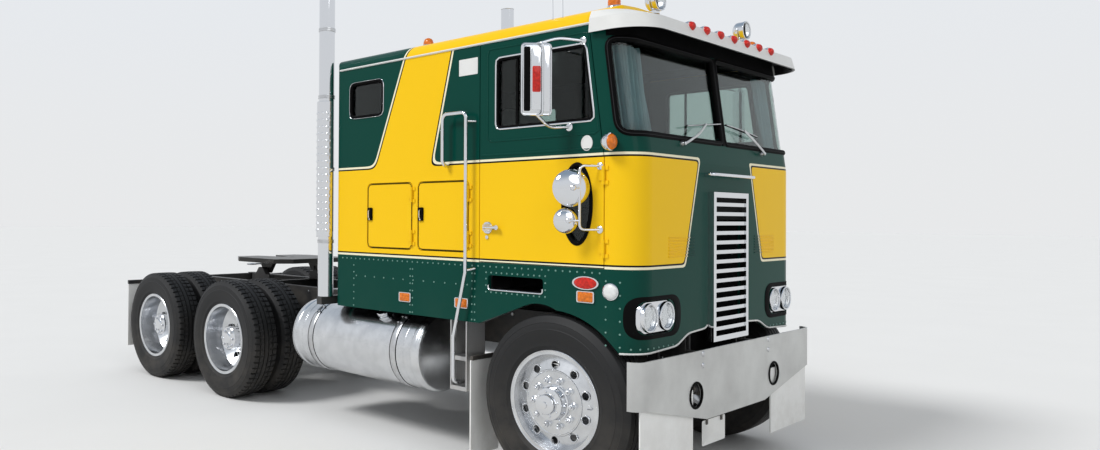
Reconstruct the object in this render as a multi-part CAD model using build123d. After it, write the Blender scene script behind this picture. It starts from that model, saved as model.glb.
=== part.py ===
from build123d import *
import math
import os

# Cab-over semi truck tractor unit with a long sleeper, in millimetres.
# X runs forward, Y to the truck's left and Z up. Places along X are measured
# from the front axle; the finished pieces are moved by ORIGIN_SHIFT, so that
# the origin lies on the ground at half the truck's length.

# Overall places
BUMPER_FRONT = 640
TAIL_X = -5590
ORIGIN_SHIFT = -(BUMPER_FRONT + TAIL_X) / 2

# Clearances
SEAM = 6
RUNNING = 0.05
FACE_GAP = 0.3

# Tyres and wheels
TYRE_R = 540
TYRE_W = 280
TREAD_W = 210
BULGE_R = 435
BEAD_R = 311
RIM_FLANGE_R = 324
RIM_W = 236
RIM_WALL = 13
FLANGE_T = 9
DISC_T = 14
BOLT_FACE_R = 170
HUB_R = 100
DRUM_R = 215
DRUM_WALL = 15
HAND_HOLES = 10
HAND_HOLE_R = 27
HAND_HOLE_CIRCLE = 232
AXLE_Z = TYRE_R

# Front axle and steering
FRONT_Y = 1010
KINGPIN_Y = 850
KINGPIN_R = 20
SPINDLE_R = 40
BOSS_R = 42
EAR_R = 50
BEAM_HALF_W = 45

# Rear bogie
BOGIE_X = -4300
AXLE_SPREAD = 1320
TWIN_OUTER_Y = 1080
TWIN_INNER_Y = 750
REAR_SPINDLE_R = 45
HOUSING_R = 70
HOUSING_Y = 600

# Ladder frame
RAIL_OUT_Y = 430
RAIL_W = 80
RAIL_LOW = 730
RAIL_HIGH = 1000
RAIL_WALL = 9
RAIL_FRONT = 500
RAIL_BACK = -5540
CROSS_HALF = 30
# Each cross member's place along X, its lower and its upper edge
CROSS_MEMBERS = ((-1250, 739, 820), (-1950, 860, 991), (-2900, 760, 991), (BOGIE_X, 760, 991),
                 (RAIL_BACK + CROSS_HALF, 760, 991))

# Cab body
CAB_HALF = 1120
CAB_FRONT = 560
CAB_BACK = -2115
WALL = 45
CORNER_R = 180
BACK_R = 60
LEAN_RUN = math.tan(math.radians(7.7))
CHIN_Z = 893
SKIRT_Z = 973
LOW_Z = 1380
BELT_Z = 2030
DRIP_Z = 2840
ROOF_EDGE_Z = DRIP_Z + 95
ROOF_Z = DRIP_Z + 145
ROOF_WALL = 40
FLOOR_T = 35

# Doors, windows and lockers
DOOR_FRONT = 350
DOOR_BACK = -599
WINDOW_LOW = 2263
WINDOW_HIGH = DRIP_Z - 118
WINDOW_BACK = -460
WINDOW_FRONT = 282
PEEP_X = 165
PEEP_Z = 1763
PEEP_HALF = (95, 235)
GLASS_T = 8
GLASS_INSET = 16
SCREEN_LOW = 2172
SCREEN_HIGH = DRIP_Z - 105
SCREEN_DEPTH = 108
SCREEN_POST = 22
# Back edge, front edge, sill and top of each sleeper window
SLEEPER_WINDOW = (-1930, -1560, 2452, DRIP_Z - 125)
LOCKER_Z = (1445, 1928)
# Each locker's name, back edge and front edge
LOCKERS = (("front", -1180, -700), ("back", -1722, -1242))
LOCKER_CORNER_R = 35
HINGE_PIN_R = 5
HINGE_R = 10
HINGE_OUT = 11
HINGE_L = 60
HINGE_EAR = 25

# Chin of the front panel: half widths and the heights of its lower edge there, stepping up to the grille
CHIN_STEPS = ((1000, CHIN_Z), (650, 908), (505, 972), (280, 984), (200, 1046))

# Grille, bumper and lamps
GRILLE_HALF = 250
GRILLE_LOW = 897
GRILLE_HIGH = 1850
GRILLE_FRONT = 600
GRILLE_FRAME = 34
GRILLE_BARS = 14
BUMPER_T = 10
BUMPER_HALF = 1220
BUMPER_TOP = 875
BUMPER_LOW = 445
BUMPER_END_LOW = 600
BUMPER_CORNER_R = 80
TOW_HOLE_R = 70
TOW_HOLE_Y = 560
TOW_HOLE_Z = 610
LAMP_Z = 1100
LAMP_Y = (770, 965)
LAMP_R = 86

# Toe hold in each skirt under the door: back and front edge, its floor and its top
TOE_HOLD = (-525, -81, 1203, 1298)
TOE_TREAD = 95
TOE_TREAD_T = 12

# Wheel arches and the open lower back of the cab
ARCH_R = TYRE_R + 30
ARCH_START_X = 20
ARCH_RISE_X = -230
ARCH_RISE_Z = 1118
ARCH_BACK_X = -600
BACK_OPEN_HALF = 600
BACK_OPEN_Z = 1060

# Cab pivot, behind the bumper
PIVOT_X = 590
PIVOT_Z = 640
PIVOT_R = 20
ARM_Y = 515
ARM_T = 30
ARM_TIP_R = 34
ARM_BACK_X = 300
ARM_W = 70

# Fuel tanks, stacks and fifth wheel
TANK_R = 290
TANK_Y = 848
TANK_Z = 680
TANK_FRONT = -1160
TANK_L = 1500
STACK_X = -2195
STACK_Y = 1150
STACK_R = 63.5
STACK_LOW = 1040
STACK_TOP = 3750
STACK_WALL = 4
DECK_BACK = -3000
FIFTH_X = -4180
FIFTH_TOP = 1245
FIFTH_T = 45
KINGPIN_BORE_R = 25.8
FIFTH_PIVOT_Z = 1120
FIFTH_PIN_R = 20


def block(x0, x1, y0, y1, z0, z1):
    return Pos((x0 + x1) / 2, (y0 + y1) / 2, (z0 + z1) / 2) * Box(abs(x1 - x0), abs(y1 - y0), abs(z1 - z0))


def side_prism(points, y0, y1):
    """A polygon drawn in X and Z, carried across from y0 to y1."""
    face = make_face(Polyline(*[(x, 0, z) for x, z in points], close=True))
    return Pos(0, y0, 0) * extrude(face, y1 - y0, dir=(0, 1, 0))


def cross_prism(points, x0, x1):
    """A polygon drawn in Y and Z, carried along from x0 to x1."""
    face = make_face(Polyline(*[(0, y, z) for y, z in points], close=True))
    return Pos(x0, 0, 0) * extrude(face, x1 - x0, dir=(1, 0, 0))


def rod(a, b, radius):
    a, b = Vector(*a), Vector(*b)
    axis = Plane(origin=a, z_dir=b - a)
    return extrude(axis * Circle(radius), (b - a).length)


def turned(points, y=0):
    """A polygon of radius and distance along Y, turned about the Y axis."""
    face = make_face(Polyline(*[(r, o, 0) for r, o in points], close=True))
    return Pos(0, y, 0) * revolve(face, Axis.Y, 360)


def across(x, z, radius, y0, y1):
    return Pos(x, (y0 + y1) / 2, z) * Rot(90, 0, 0) * Cylinder(radius, abs(y1 - y0))


def upright(x, y, radius, z0, z1):
    return Pos(x, y, (z0 + z1) / 2) * Cylinder(radius, z1 - z0)


def forward(y, z, radius, x0, x1):
    return Pos((x0 + x1) / 2, y, z) * Rot(0, 90, 0) * Cylinder(radius, x1 - x0)


def joined(shapes):
    whole = shapes[0]
    for shape in shapes[1:]:
        whole = whole + shape
    return whole


def other_side(shape):
    return mirror(shape, about=Plane.XZ)


def pair(shapes):
    """The shapes of the right side and their mirror images."""
    return list(shapes) + [other_side(shape) for shape in shapes]


nodes = {}


def keep(name, *shapes):
    nodes[name] = Compound([solid for shape in shapes for solid in shape.solids()])


# Cab form: upright sides, and a front that leans back above the belt


def front_x(z):
    return CAB_FRONT - max(0, z - BELT_Z) * LEAN_RUN


def cab_plan(z, inset):
    front, back = front_x(z) - inset, CAB_BACK + inset
    plan = Pos((front + back) / 2, 0) * Rectangle(front - back, 2 * (CAB_HALF - inset))
    plan = fillet(plan.vertices().sort_by(Axis.X)[-2:], CORNER_R - inset)
    return Pos(0, 0, z) * fillet(plan.vertices().sort_by(Axis.X)[:2], max(BACK_R - inset, 5))


def cab_column(inset, low, high):
    return Pos(0, 0, low - BELT_Z) * extrude(cab_plan(BELT_Z, inset), high - low)


def cab_upper(inset, low, high):
    leaning = loft([cab_plan(BELT_Z, inset), cab_plan(high, inset)], ruled=True)
    return cab_column(inset, low, BELT_Z) + leaning


def roof_form(inset):
    half, edge, top = CAB_HALF - inset, ROOF_EDGE_Z - inset, ROOF_Z - inset
    edge_in = half - (ROOF_EDGE_Z - DRIP_Z)
    front, back = front_x(DRIP_Z) - inset, CAB_BACK + inset
    section = Line((0, -half, DRIP_Z), (0, half, DRIP_Z))
    section += ThreePointArc((0, half, DRIP_Z), (0, half - 0.3 * (half - edge_in), edge - 0.3 * (edge - DRIP_Z)),
                             (0, edge_in, edge))
    section += ThreePointArc((0, edge_in, edge), (0, 0, top), (0, -edge_in, edge))
    section += ThreePointArc((0, -edge_in, edge), (0, -half + 0.3 * (half - edge_in), edge - 0.3 * (edge - DRIP_Z)),
                             (0, -half, DRIP_Z))
    along = Pos(back, 0, 0) * extrude(make_face(section), front - back, dir=(1, 0, 0))
    nose = 0.75 * (ROOF_Z - DRIP_Z)
    profile = side_prism([(back, DRIP_Z), (front, DRIP_Z), (front - 12, DRIP_Z + 0.5 * nose), (front - 40, top - 35),
                          (front - 130, top), (back + 40, top), (back, top - 40)], -CAB_HALF, CAB_HALF)
    plan = extrude(cab_plan(DRIP_Z, inset), ROOF_Z - DRIP_Z)
    return along & profile & plan


def door_outline(grow, y0, y1):
    low, high = LOW_Z + SEAM - grow, DRIP_Z - SEAM + grow
    front, back = DOOR_FRONT + grow, DOOR_BACK - grow
    return side_prism([(back, low), (front, low), (front, BELT_Z), (front - (high - BELT_Z) * LEAN_RUN, high),
                       (back, high)], y0, y1)


def window_cut(y0, y1):
    shape = side_prism([(WINDOW_BACK, WINDOW_LOW), (WINDOW_FRONT, WINDOW_LOW),
                        (WINDOW_FRONT - (WINDOW_HIGH - WINDOW_LOW) * LEAN_RUN, WINDOW_HIGH),
                        (WINDOW_BACK, WINDOW_HIGH)], y0, y1)
    return fillet(shape.edges().filter_by(Axis.Y), 30)


def peep_cut(y0, y1):
    plane = Plane(origin=(PEEP_X, y0, PEEP_Z), x_dir=(1, 0, 0), z_dir=(0, 1, 0))
    return extrude(plane * Ellipse(*PEEP_HALF), y1 - y0)


def rounded_cut(x0, x1, z0, z1, radius, y0, y1):
    shape = block(x0, x1, y0, y1, z0, z1)
    return fillet(shape.edges().filter_by(Axis.Y), radius)


def screen_cut(y0, y1):
    """The windshield opening, seen from the side a band that leans with the front."""
    low_x, high_x = front_x(SCREEN_LOW), front_x(SCREEN_HIGH)
    shape = side_prism([(low_x - SCREEN_DEPTH, SCREEN_LOW), (low_x + 50, SCREEN_LOW), (high_x + 50, SCREEN_HIGH),
                        (high_x - SCREEN_DEPTH, SCREEN_HIGH)], y0, y1)
    back_edges = shape.edges().filter_by(Axis.Y).sort_by(Axis.X)[:2]
    return fillet(back_edges, 45)


SIDE_IN = -(CAB_HALF - WALL)
SIDE_OUT = -CAB_HALF
cut_y = (SIDE_OUT - 40, SIDE_IN + 20)

upper_shell = cab_upper(0, LOW_Z, DRIP_Z) - cab_upper(WALL, LOW_Z, DRIP_Z)
lower_shell = cab_column(0, CHIN_Z, LOW_Z) - cab_column(WALL, CHIN_Z, LOW_Z)

# Hinges of the doors and lockers: a pin between two ears on the body, and a
# knuckle on the door


def hinge(x, z, carried):
    """One hinge on the right side at x and z: the door's knuckle, or the body's pin and ears."""
    y = SIDE_OUT - HINGE_OUT
    leaf_y = (y + HINGE_R - 6, SIDE_OUT)
    if carried:
        leaf = block(x - 36, x, leaf_y[0], leaf_y[1], z - HINGE_L / 2, z + HINGE_L / 2)
        tube = upright(x, y, HINGE_R, z - HINGE_L / 2, z + HINGE_L / 2)
        return leaf + tube - upright(x, y, HINGE_PIN_R + RUNNING, z - HINGE_L, z + HINGE_L)
    pin = upright(x, y, HINGE_PIN_R, z - HINGE_L / 2 - HINGE_EAR, z + HINGE_L / 2 + HINGE_EAR)
    ears = []
    for end in (-1, 1):
        near, far = sorted((z + end * (HINGE_L / 2 + 1), z + end * (HINGE_L / 2 + HINGE_EAR)))
        ears.append(block(x, x + 30, leaf_y[0], leaf_y[1], near, far))
        ears.append(upright(x, y, HINGE_R, near, far))
    return joined([pin] + ears)


DOOR_HINGE_X = DOOR_FRONT + SEAM / 2
DOOR_HINGE_Z = (1500, 1930)
LOCKER_HINGE_Z = (1530, 1840)

# Side walls behind the doors, with the sleeper window and the locker openings
side_zone = block(CAB_BACK + BACK_R, DOOR_BACK - SEAM, SIDE_OUT - 5, SIDE_IN, LOW_Z, DRIP_Z)
side_wall = upper_shell & side_zone
window = SLEEPER_WINDOW
side_wall -= rounded_cut(window[0], window[1], window[2], window[3], 50, *cut_y)
for name, back, front in LOCKERS:
    side_wall -= rounded_cut(back - SEAM, front + SEAM, LOCKER_Z[0] - SEAM, LOCKER_Z[1] + SEAM,
                             LOCKER_CORNER_R + SEAM, *cut_y)
    for z in LOCKER_HINGE_Z:
        side_wall += hinge(front + SEAM / 2, z, False)
keep("cab_sides", *pair([side_wall]))

# Back wall with the rear corners
back_wall = upper_shell & block(CAB_BACK, CAB_BACK + BACK_R, -CAB_HALF, CAB_HALF, LOW_Z, DRIP_Z)
keep("cab_back", back_wall)

# Front panel with both pillars and the windshield opening
front_seam = DOOR_FRONT + SEAM
front_zone = side_prism([(front_seam, LOW_Z), (CAB_FRONT + 5, LOW_Z), (CAB_FRONT + 5, DRIP_Z),
                         (front_seam - (DRIP_Z - BELT_Z) * LEAN_RUN, DRIP_Z), (front_seam, BELT_Z)],
                        -CAB_HALF, CAB_HALF)
screen_sides = screen_cut(-CAB_HALF - 5, -SCREEN_POST) + screen_cut(SCREEN_POST, CAB_HALF + 5)
grille_hole = block(CAB_FRONT - WALL - 5, CAB_FRONT + 5, -GRILLE_HALF + 30, GRILLE_HALF - 30, CHIN_Z - 5, 1680)
front_panel = (upper_shell & front_zone) - screen_sides - grille_hole
door_hinges = joined([hinge(DOOR_HINGE_X, z, False) for z in DOOR_HINGE_Z])
front_panel = front_panel + door_hinges + other_side(door_hinges)
keep("cab_front", front_panel)

# Roof: rounded along its edges and lightly crowned
roof = roof_form(0) - roof_form(ROOF_WALL)
keep("cab_roof", roof)

# Lower panels: skirts with the wheel arches, and the front with the lamp openings
arch_end = math.sqrt(ARCH_R ** 2 - (CHIN_Z - AXLE_Z) ** 2)
arch_start = (ARCH_START_X, 0, AXLE_Z + math.sqrt(ARCH_R ** 2 - ARCH_START_X ** 2))
arch_middle = (ARCH_R * math.cos(math.radians(60)), 0, AXLE_Z + ARCH_R * math.sin(math.radians(60)))
arch = Polyline((arch_end, 0, CHIN_Z), (arch_end, 0, RAIL_LOW), (ARCH_BACK_X - 40, 0, RAIL_LOW),
                (ARCH_BACK_X - 40, 0, SKIRT_Z - 14), (ARCH_BACK_X, 0, SKIRT_Z), (ARCH_RISE_X, 0, ARCH_RISE_Z))
arch += ThreePointArc((ARCH_RISE_X, 0, ARCH_RISE_Z), (-110, 0, 1141), arch_start)
arch += ThreePointArc(arch_start, arch_middle, (arch_end, 0, CHIN_Z))
arch_cut = Pos(0, -CAB_HALF - 10, 0) * extrude(make_face(arch), 2 * CAB_HALF + 20, dir=(0, 1, 0))
under_back = block(CAB_BACK - 5, ARCH_BACK_X + 10, -CAB_HALF - 5, CAB_HALF + 5, CHIN_Z - 5, SKIRT_Z)
toe_hold = rounded_cut(*TOE_HOLD, 20, SIDE_OUT - 5, SIDE_IN + 20)
lamp_hole = LAMP_R + 12
lamp_opening = block(CAB_FRONT - 80, CAB_FRONT + 20, -LAMP_Y[1] - lamp_hole, -LAMP_Y[0] + lamp_hole,
                     LAMP_Z - lamp_hole, LAMP_Z + lamp_hole)
lamp_opening = fillet(lamp_opening.edges().filter_by(Axis.X), lamp_hole - 8)
chin_edge = [(-y, z) for y, z in CHIN_STEPS] + [(y, z) for y, z in reversed(CHIN_STEPS)]
chin_step = cross_prism([(-CHIN_STEPS[0][0], CHIN_Z - 5)] + chin_edge + [(CHIN_STEPS[0][0], CHIN_Z - 5)],
                        CAB_FRONT - 2 * WALL - 10, CAB_FRONT + 5)
skirt = lower_shell - arch_cut - under_back - grille_hole - chin_step
for cut in (toe_hold, lamp_opening):
    skirt = skirt - cut - other_side(cut)
toe_tread = block(TOE_HOLD[0] - 10, TOE_HOLD[1] + 10, SIDE_IN, SIDE_IN + TOE_TREAD, TOE_HOLD[2] - TOE_TREAD_T,
                  TOE_HOLD[2])
skirt = skirt + toe_tread + other_side(toe_tread)
# Its back stays open over the frame
skirt -= block(CAB_BACK - 5, CAB_BACK + 2 * WALL, -BACK_OPEN_HALF, BACK_OPEN_HALF, SKIRT_Z - 5, BACK_OPEN_Z)
keep("cab_skirt", skirt)

# Floor with the engine cover, seat stands, luggage wall and bunk shelf
TUNNEL_HALF, TUNNEL_BACK, TUNNEL_TOP, TUNNEL_WALL = 380, -665, 1695, 25
floor = cab_column(WALL, LOW_Z - FLOOR_T, LOW_Z)
floor -= block(TUNNEL_BACK, CAB_FRONT, -TUNNEL_HALF, TUNNEL_HALF, LOW_Z - FLOOR_T, LOW_Z)
cover = block(TUNNEL_BACK - TUNNEL_WALL, CAB_FRONT - WALL, -TUNNEL_HALF - TUNNEL_WALL, TUNNEL_HALF + TUNNEL_WALL,
              LOW_Z, TUNNEL_TOP + TUNNEL_WALL)
cover -= block(TUNNEL_BACK, CAB_FRONT, -TUNNEL_HALF, TUNNEL_HALF, LOW_Z, TUNNEL_TOP)
BUNK_FRONT, BUNK_SHELF_Z, MATTRESS_T = -700, 1940, 150
SEAT_X, SEAT_Y, SEAT_HALF = (-480, 20), 680, 250
SEAT_LOW, SEAT_HIGH, SEAT_BACK_HIGH, SEAT_BACK_T, SEAT_RAKE = 1600, 1740, 2440, 88, 100
inner_y = CAB_HALF - WALL
shelf = cab_column(WALL, BUNK_SHELF_Z, BUNK_SHELF_Z + 20)
shelf -= block(BUNK_FRONT, CAB_FRONT, -CAB_HALF, CAB_HALF, BUNK_SHELF_Z, BUNK_SHELF_Z + 20)
luggage_wall = block(BUNK_FRONT - 20, BUNK_FRONT, -inner_y, inner_y, LOW_Z, BUNK_SHELF_Z)
stands = [block(SEAT_X[0] + 60, SEAT_X[1] - 60, side * SEAT_Y - 170, side * SEAT_Y + 170, LOW_Z, SEAT_LOW)
          for side in (-1, 1)]
arms = []
for side in (-1, 1):
    y0, y1 = side * ARM_Y - ARM_T / 2, side * ARM_Y + ARM_T / 2
    arm = side_prism([(ARM_BACK_X, LOW_Z - FLOOR_T), (ARM_BACK_X, PIVOT_Z - 40), (PIVOT_X, PIVOT_Z - ARM_TIP_R),
                      (PIVOT_X, PIVOT_Z + ARM_TIP_R), (ARM_BACK_X + ARM_W, PIVOT_Z + 50),
                      (ARM_BACK_X + ARM_W, LOW_Z - FLOOR_T)], y0, y1)
    arm += across(PIVOT_X, PIVOT_Z, ARM_TIP_R, y0, y1)
    arms.append(arm - across(PIVOT_X, PIVOT_Z, PIVOT_R + RUNNING, y0 - 1, y1 + 1))
keep("cab_floor", joined([floor, cover, shelf, luggage_wall] + stands + arms))

# Glass: the curved windshield in two halves, and the sleeper windows
glass_skin = cab_upper(GLASS_INSET, LOW_Z, DRIP_Z) - cab_upper(GLASS_INSET + GLASS_T, LOW_Z, DRIP_Z)
glass_y = (SIDE_OUT + GLASS_INSET, SIDE_OUT + GLASS_INSET + GLASS_T)
sleeper_pane = rounded_cut(window[0], window[1], window[2], window[3], 50, *glass_y)
keep("cab_glass", glass_skin & screen_sides, *pair([sleeper_pane]))

# Doors with their glass, hinges and handles
door = (upper_shell & door_outline(0, SIDE_OUT - 5, SIDE_IN + 10)) - window_cut(*cut_y) - peep_cut(*cut_y)
door = door + joined([hinge(DOOR_HINGE_X, z, True) for z in DOOR_HINGE_Z])
HANDLE_X, HANDLE_Z, HANDLE_OUT = -530, 1612, 32
handle = block(HANDLE_X - 30, HANDLE_X + 30, SIDE_OUT - 14, SIDE_OUT, HANDLE_Z - 22, HANDLE_Z + 20)
handle += block(HANDLE_X - 15, HANDLE_X + 100, SIDE_OUT - HANDLE_OUT, SIDE_OUT - 14, HANDLE_Z - 8, HANDLE_Z + 10)
door += handle
panes = [window_cut(*glass_y), peep_cut(*glass_y)]


def plate_on(x, y, z, turn, width, height, thick):
    return Pos(x, y, z) * Rot(0, 0, turn) * Box(width, thick, height)


# Mirrors on the right door: a tall one on two arms and two round ones on a bow
TALL_AT = (30, SIDE_OUT - 225, DRIP_Z - 335)
TALL_SIZE = (180, 430, 40)
TALL_TURN = 49
ARM_OUT = 120
ARM_R = 9
UPPER_Z = DRIP_Z - 98
LOWER_Z = 2185
# Each round mirror's place and radius
ROUND_AT = ((214, SIDE_OUT - 130, 1855, 101), (181, SIDE_OUT - 130, 1665, 72))
BOW_X, BOW_OUT, BOW_FOOT_X, BOW_Z, BOW_R = 262, 116, 325, (1610, 1985), 8
tall = plate_on(*TALL_AT, TALL_TURN, TALL_SIZE[0], TALL_SIZE[1], TALL_SIZE[2])
tall = fillet(tall.edges().filter_by(Axis.Z), 12)
tall_ends = [(TALL_AT[0], TALL_AT[1], TALL_AT[2] + end * (TALL_SIZE[1] / 2 - 5)) for end in (-1, 1)]
elbows = [(110, SIDE_OUT - ARM_OUT, LOWER_Z + 15), (110, SIDE_OUT - ARM_OUT, UPPER_Z + 13)]
arms = [rod((225, SIDE_OUT, LOWER_Z), elbows[0], ARM_R), rod(elbows[0], tall_ends[0], ARM_R),
        rod((205, SIDE_OUT, UPPER_Z), elbows[1], ARM_R), rod(elbows[1], tall_ends[1], ARM_R),
        rod((-60, SIDE_OUT, UPPER_Z), tall_ends[1], ARM_R - 2)]
joints = [Pos(*place) * Sphere(ARM_R + 0.5) for place in elbows + tall_ends[1:]]
bow_y = SIDE_OUT - BOW_OUT
bow = [rod((BOW_X, bow_y, BOW_Z[0]), (BOW_X, bow_y, BOW_Z[1]), BOW_R)]
for z in BOW_Z:
    bow += [rod((BOW_FOOT_X, SIDE_OUT, z), (BOW_X, bow_y, z), BOW_R), Pos(BOW_X, bow_y, z) * Sphere(BOW_R + 0.4)]
for x, y, z, r in ROUND_AT:
    dish = Pos(x, y, z) * Rot(0, 0, TALL_TURN) * Rot(90, 0, 0) * Cylinder(r, 34)
    bow += [dish, rod((BOW_X, bow_y, z), (x, y, z), BOW_R)]
skin = block(DOOR_BACK, DOOR_FRONT + 50, SIDE_OUT, SIDE_IN, LOW_Z, DRIP_Z)
mirrors = [joined([tall] + arms + joints) - skin, joined(bow) - skin]

for side, flip in (("right", False), ("left", True)):
    finish = other_side if flip else (lambda shape: shape)
    keep("door_" + side, finish(door))
    keep("door_glass_" + side, *[finish(pane) for pane in panes])
    keep("door_mirrors_" + side, *[finish(piece) for piece in mirrors])
    for name, back, front in LOCKERS:
        lid = rounded_cut(back, front, LOCKER_Z[0], LOCKER_Z[1], LOCKER_CORNER_R, SIDE_OUT, SIDE_IN)
        lid += joined([hinge(front + SEAM / 2, z, True) for z in LOCKER_HINGE_Z])
        lid += block(back + 15, back + 50, SIDE_OUT - 12, SIDE_OUT, 1660, 1740)
        keep("locker_" + name + "_" + side, finish(lid))

# Grille: a bright frame with bars
grille = block(CAB_FRONT, GRILLE_FRONT, -GRILLE_HALF, GRILLE_HALF, GRILLE_LOW, GRILLE_HIGH)
grille -= block(CAB_FRONT, GRILLE_FRONT, -GRILLE_HALF + GRILLE_FRAME, GRILLE_HALF - GRILLE_FRAME,
                GRILLE_LOW + GRILLE_FRAME, GRILLE_HIGH - GRILLE_FRAME)
bar_step = (GRILLE_HIGH - GRILLE_LOW - GRILLE_FRAME) / (GRILLE_BARS + 1)
for i in range(GRILLE_BARS):
    z = GRILLE_LOW + GRILLE_FRAME / 2 + (i + 1) * bar_step
    grille += block(CAB_FRONT + 4, GRILLE_FRONT - 8, -GRILLE_HALF + 5, GRILLE_HALF - 5, z - 12, z + 12)
keep("grille", grille)

# Headlamps: a sunk pod with two round lamps a side
pod_half = lamp_hole - 1
pod = block(CAB_FRONT - 95, CAB_FRONT - 60, -LAMP_Y[1] - pod_half, -LAMP_Y[0] + pod_half, LAMP_Z - pod_half,
            LAMP_Z + pod_half)
pod = fillet(pod.edges().filter_by(Axis.X), pod_half - 8)
pod -= cab_column(0, CHIN_Z, LOW_Z) - cab_column(WALL, CHIN_Z, LOW_Z) - lamp_opening
lamps = [forward(-y, LAMP_Z, LAMP_R, CAB_FRONT - 61, CAB_FRONT + 8) for y in LAMP_Y]
keep("headlamps", *pair([joined([pod] + lamps)]))

# Sun visor: a peak that wraps round both corners and ends at the door seams
# Each edge of it: height over the drip line, how far it stands out ahead and aside, and its corner radius
VISOR = ((68, 8, 2, 175), (22, 155, 24, 230), (-62, 178, 32, 240))
VISOR_T = 12
VISOR_BACK = 262
VISOR_LAMPS = 7
VISOR_LAMP_STEP = 190


def visor_plan(z, out_front, out_side, radius, inset):
    front, half = front_x(DRIP_Z) + out_front - inset, CAB_HALF + out_side - inset
    back = 0
    plan = Pos((front + back) / 2, 0) * Rectangle(front - back, 2 * half)
    return Pos(0, 0, z) * fillet(plan.vertices().sort_by(Axis.X)[-2:], radius - inset)


def visor_form(inset, drop):
    plans = [visor_plan(DRIP_Z + z - drop, out, side, radius, inset) for z, out, side, radius in VISOR]
    return loft(plans[:2], ruled=True) + loft(plans[1:], ruled=True)


visor = visor_form(0, 0) - visor_form(VISOR_T, VISOR_T) - visor_form(VISOR_T, VISOR_T * 2)
visor -= block(-5, VISOR_BACK, -CAB_HALF - 80, CAB_HALF + 80, DRIP_Z - 140, DRIP_Z + 110)
visor = visor - cab_upper(0, LOW_Z, DRIP_Z) - roof_form(0)
visor = Compound(visor.solids().sort_by(SortBy.VOLUME)[-1:])
keep("sun_visor", visor)

# Marker lamps: on the skirts, beside the belt, on the visor and on the roof
# Place along X and height of each flat side lamp, then half of its length and height
SIDE_LAMPS = ((-1304, 1095), (-754, 1095), (231, 1205))
SIDE_LAMP_HALF = (45, 22)
ROUND_LAMP_X, ROUND_LAMP_Z, ROUND_LAMP_R = 231, 1286, 48
TURN_LAMP_X, TURN_LAMP_Z, TURN_LAMP_R, TURN_LAMP_OUT = 408, 2120, 36, 62
ROOF_MARKER_X, ROOF_MARKER_R = -1250, 42
markers = []
for x, z in SIDE_LAMPS:
    markers.append(block(x - SIDE_LAMP_HALF[0], x + SIDE_LAMP_HALF[0], SIDE_OUT - 20, SIDE_OUT,
                         z - SIDE_LAMP_HALF[1], z + SIDE_LAMP_HALF[1]))
markers.append(across(ROUND_LAMP_X, ROUND_LAMP_Z, ROUND_LAMP_R, SIDE_OUT - 14, SIDE_OUT))
markers.append(across(TURN_LAMP_X, TURN_LAMP_Z, TURN_LAMP_R, SIDE_OUT - TURN_LAMP_OUT, SIDE_OUT + 30)
               - cab_upper(0, LOW_Z, DRIP_Z))
markers.append(upright(ROOF_MARKER_X, SIDE_OUT + 170, ROOF_MARKER_R, ROOF_EDGE_Z - 10, ROOF_EDGE_Z + 70)
               - roof_form(0))
visor_lamps = [forward((i - (VISOR_LAMPS - 1) / 2) * VISOR_LAMP_STEP, DRIP_Z + 26, 27, front_x(DRIP_Z) + 90,
                       front_x(DRIP_Z) + 170) - visor_form(0, 0) for i in range(VISOR_LAMPS)]
keep("marker_lamps", *(pair(markers) + visor_lamps))

# Roof lamps: a spot lamp and a beacon a side, ahead on the roof
roof_lamps = []
SPOT_Y, SPOT_Z, SPOT_R, SPOT_X, STALK_R = -610, ROOF_Z + 54, 65, (330, 430), 14
BEACON_X, BEACON_R = 310, 48
stalk = upright(sum(SPOT_X) / 2, SPOT_Y, STALK_R, ROOF_EDGE_Z - 40, SPOT_Z) - roof_form(0)
spot = forward(SPOT_Y, SPOT_Z, SPOT_R, *SPOT_X)
beacon = upright(BEACON_X, SIDE_OUT + 170, BEACON_R, ROOF_EDGE_Z - 40, ROOF_EDGE_Z + 90) - roof_form(0)
keep("roof_lamps", *pair([stalk + spot, beacon]))


# Grab rails: a long one behind each door that ends at the steps, and one over the grille


def tube_along(points, bends, radius):
    path = FilletPolyline(*points, radius=bends)
    plane = Plane(origin=path @ 0, z_dir=path % 0)
    return sweep(plane * Circle(radius), path)


GRAB_R = 13
GRAB_OUT = 62
GRAB_BACK, GRAB_X, GRAB_FOOT_X = -885, -671, -775
GRAB_TOP, GRAB_END, GRAB_BEND, GRAB_KNEE, GRAB_FOOT_Z = 2385, 2035, 1310, 870, 560
FRONT_GRAB_HALF, FRONT_GRAB_Z, FRONT_GRAB_R = 300, 1960, 11
rail_y = SIDE_OUT - GRAB_OUT
long_rail = tube_along([(GRAB_BACK, SIDE_OUT, GRAB_END), (GRAB_BACK, rail_y, GRAB_END), (GRAB_BACK, rail_y, GRAB_TOP),
                        (GRAB_X, rail_y, GRAB_TOP), (GRAB_X, rail_y, GRAB_BEND), (GRAB_FOOT_X, rail_y, GRAB_KNEE),
                        (GRAB_FOOT_X, rail_y, GRAB_FOOT_Z), (GRAB_FOOT_X, SIDE_OUT - 10, GRAB_FOOT_Z)], 40, GRAB_R)
rail_feet = [rod((GRAB_X + 31, SIDE_OUT, z + rise), (GRAB_X, rail_y, z), 9)
             for z, rise in ((GRAB_TOP - 60, 0), (GRAB_BEND + 10, 15))]
front_grab = [(CAB_FRONT, -FRONT_GRAB_HALF), (CAB_FRONT + 60, -FRONT_GRAB_HALF), (CAB_FRONT + 60, FRONT_GRAB_HALF),
              (CAB_FRONT, FRONT_GRAB_HALF)]
front_rail = tube_along([(x, y, FRONT_GRAB_Z) for x, y in front_grab], 25, FRONT_GRAB_R)
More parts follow.
